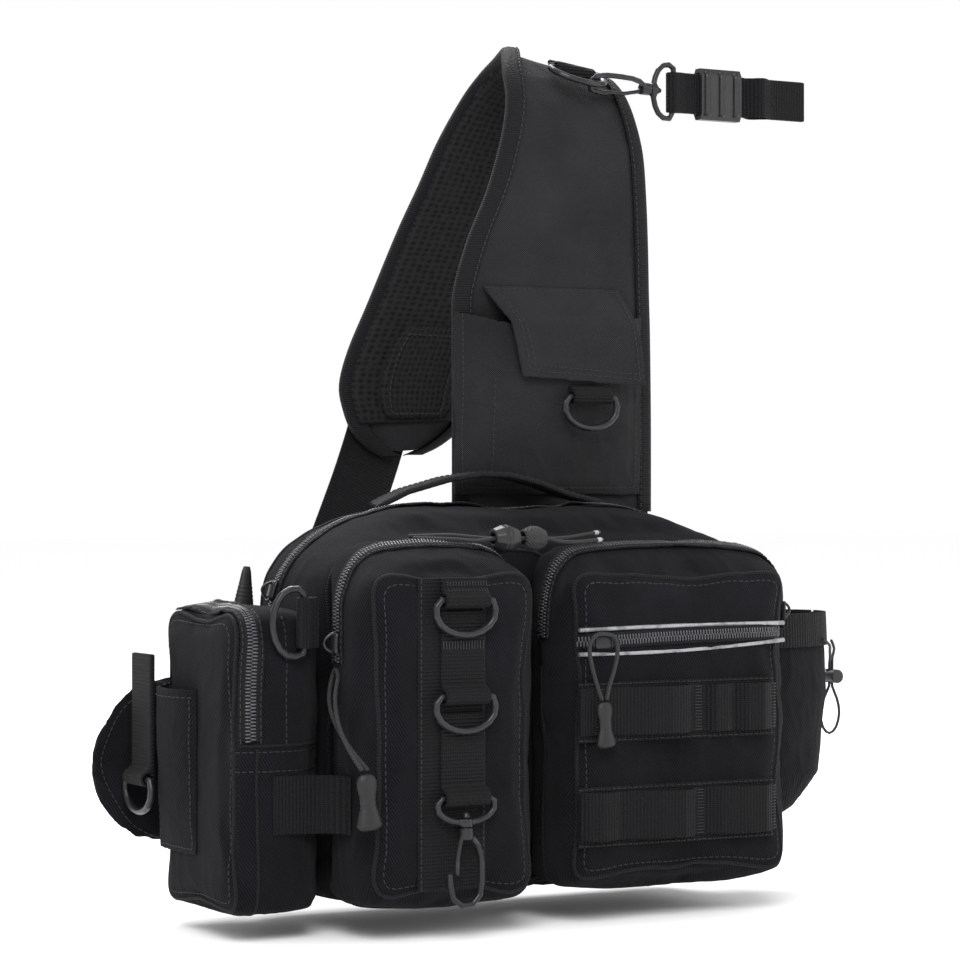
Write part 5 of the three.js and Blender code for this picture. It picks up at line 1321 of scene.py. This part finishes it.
# the side pocket's front: a raised seam across, stitches under it and beside the zip
sideSeams = {"piece": sidePocketCase, "way": (0, 1, 0), "lift": seamLift, "spacing": 3.3,
             "slot": "body_cloth",
             "lines": [[(-181, 0, 81.5), (-133, 0, 81.5)], [(-181, 0, 72), (-133, 0, 72)],
                       [(-157, 0, 86), (-157, 0, 146)]],
             "raised": [(-181, 0, 84.5), (-133, 0, 84.5)], "raisedLift": 0.1, "radius": 0.7}
sideRaised, _ = castRoute(surfaceTree(sidePocketCase), sideSeams["raised"], sideSeams["way"],
                          sideSeams["raisedLift"])
rideAndName(tubeMesh("sideFrontSeam", sideRaised, sideSeams["radius"], bindingCloth, sides=8))
castSeams("sideFrontStitches", sideSeams)

wingOutline = [(-130, 0, 112), (-160, 0, 111), (-184, 0, 105), (-198, 0, 94), (-205, 0, 78), (-204, 0, 60),
               (-196, 0, 43), (-182, 0, 32), (-160, 0, 27), (-130, 0, 27)]
wingSeams = {"piece": leftWingPad, "way": (0, 1, 0), "lift": seamLift, "spacing": 3.4, "slot": "body_cloth",
             "lines": [smoothCurve(wingOutline, 6)]}
castSeams("wingStitches", wingSeams)
handleSeams = {"piece": grabHandle, "way": (0, 0, -1), "lift": seamLift, "spacing": 3.3, "slot": "webbing",
               "lines": [[(x, y, 240) for x in range(-62, 76, 6)] for y in (61, 73)]}
castSeams("handleStitches", handleSeams)

# raised bars of the rod strap's slide
slideSettings = {"places": (0.14, 0.5, 0.86), "sunk": 0.2, "margin": 2, "radius": 1.9, "spacing": 3}
slideLow, slideHigh = (inBag(c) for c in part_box("rod_strap_slide"))
for i, share in enumerate(slideSettings["places"]):
    x = slideLow.x + share * (slideHigh.x - slideLow.x)
    y = slideLow.y + slideSettings["sunk"]
    ends = [Vector((x, y, slideLow.z + slideSettings["margin"])),
            Vector((x, y, slideHigh.z - slideSettings["margin"]))]
    bar = tubeMesh(f"slideBar{i + 1}", resampled(ends, slideSettings["spacing"]), slideSettings["radius"],
                   slidePlastic, sides=12)
    rideAndName(bar)

# light tips at the shock cords' free ends
tipSettings = {"length": 3.2, "radius": 1.25, "stand": 0.4, "point": 0.6}
for pieceName in ("cordShockUpper", "cordShockLower"):
    near, end = (Vector(p) for p in cordSettings[pieceName]["route"][-2:])
    way = (end - near).normalized()
    line = [end - way * tipSettings["length"], end - way, end + way * tipSettings["stand"]]
    radii = [tipSettings["radius"] * share for share in (1, 1, tipSettings["point"])]
    tip = tubeMesh(pieceName + "Tip", line, radii, cordTip)
    rideAndName(tip)
backSeams = {"piece": backCushion, "way": (0, -1, 0), "lift": 0.2, "spacing": 3.6, "slot": "air_mesh",
             "lines": [[(x, 150, 22), (x, 150, 176)] for x in (-70, -20, 30, 80)]}
castSeams("backStitches", backSeams)
print("welts and stitches made")

# rubber pulls: a waisted, flattened drop with grip ribs, and a plain fin
gripSettings = {"ribs": 4, "ribsFrom": 0.34, "ribsTo": 0.66, "ribDepth": 0.04, "flat": 0.5, "steps": 40,
                "sides": 20, "endDepth": 2.5}
gripProfile = [(0, 0.4), (0.04, 0.6), (0.12, 0.74), (0.24, 0.74), (0.4, 0.6), (0.58, 0.6), (0.78, 0.84),
               (0.9, 0.95), (0.96, 0.86), (1, 0.55)]
finProfile = [(0, 0.28), (0.1, 0.42), (0.3, 0.55), (0.5, 0.7), (0.7, 0.84), (0.9, 0.95), (1, 0.8)]
pullSettings = {
    "leftPull": {"node": "left_pull_grip", "outline": gripProfile, "longer": 0},
    "stashPull": {"node": "stash_pull_grip", "outline": gripProfile, "longer": 0},
    "mainPull": {"node": "main_pull_grip", "outline": finProfile, "longer": 6},
}
for pieceName, settings in pullSettings.items():
    spots = [inBag(v.co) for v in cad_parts[settings["node"]].data.vertices]
    highest, lowest = max(p.z for p in spots), min(p.z for p in spots)
    ends = []
    for level in (highest, lowest):
        close = [p for p in spots if abs(p.z - level) < gripSettings["endDepth"]]
        ends.append(sum(close, Vector()) / len(close))
    ends[1] += (ends[1] - ends[0]).normalized() * settings["longer"]
    wide = max(p.x for p in spots) - min(p.x for p in spots) - abs(ends[0].x - ends[1].x)
    shares = [k / gripSettings["steps"] for k in range(gripSettings["steps"] + 1)]
    spine = [ends[0].lerp(ends[1], t) for t in shares]
    places, widths = zip(*settings["outline"])
    radii = []
    for t in shares:
        r = wide / 2 * np.interp(t, places, widths)
        if gripSettings["ribsFrom"] < t < gripSettings["ribsTo"]:
            share = (t - gripSettings["ribsFrom"]) / (gripSettings["ribsTo"] - gripSettings["ribsFrom"])
            r *= 1 + gripSettings["ribDepth"] * math.cos(share * gripSettings["ribs"] * 2 * math.pi)
        radii.append(float(r))
    grip = tubeMesh(pieceName, spine, radii, softRubber, sides=gripSettings["sides"], normal=(1, 0, 0))
    middle = toFrame((ends[0] + ends[1]) / 2)
    for v in grip.data.vertices:
        v.co.y = middle.y + (v.co.y - middle.y) * gripSettings["flat"]
    grip.data.update()
    rideAndName(grip, [settings["node"]])
print("pulls made")


print("all pieces made")
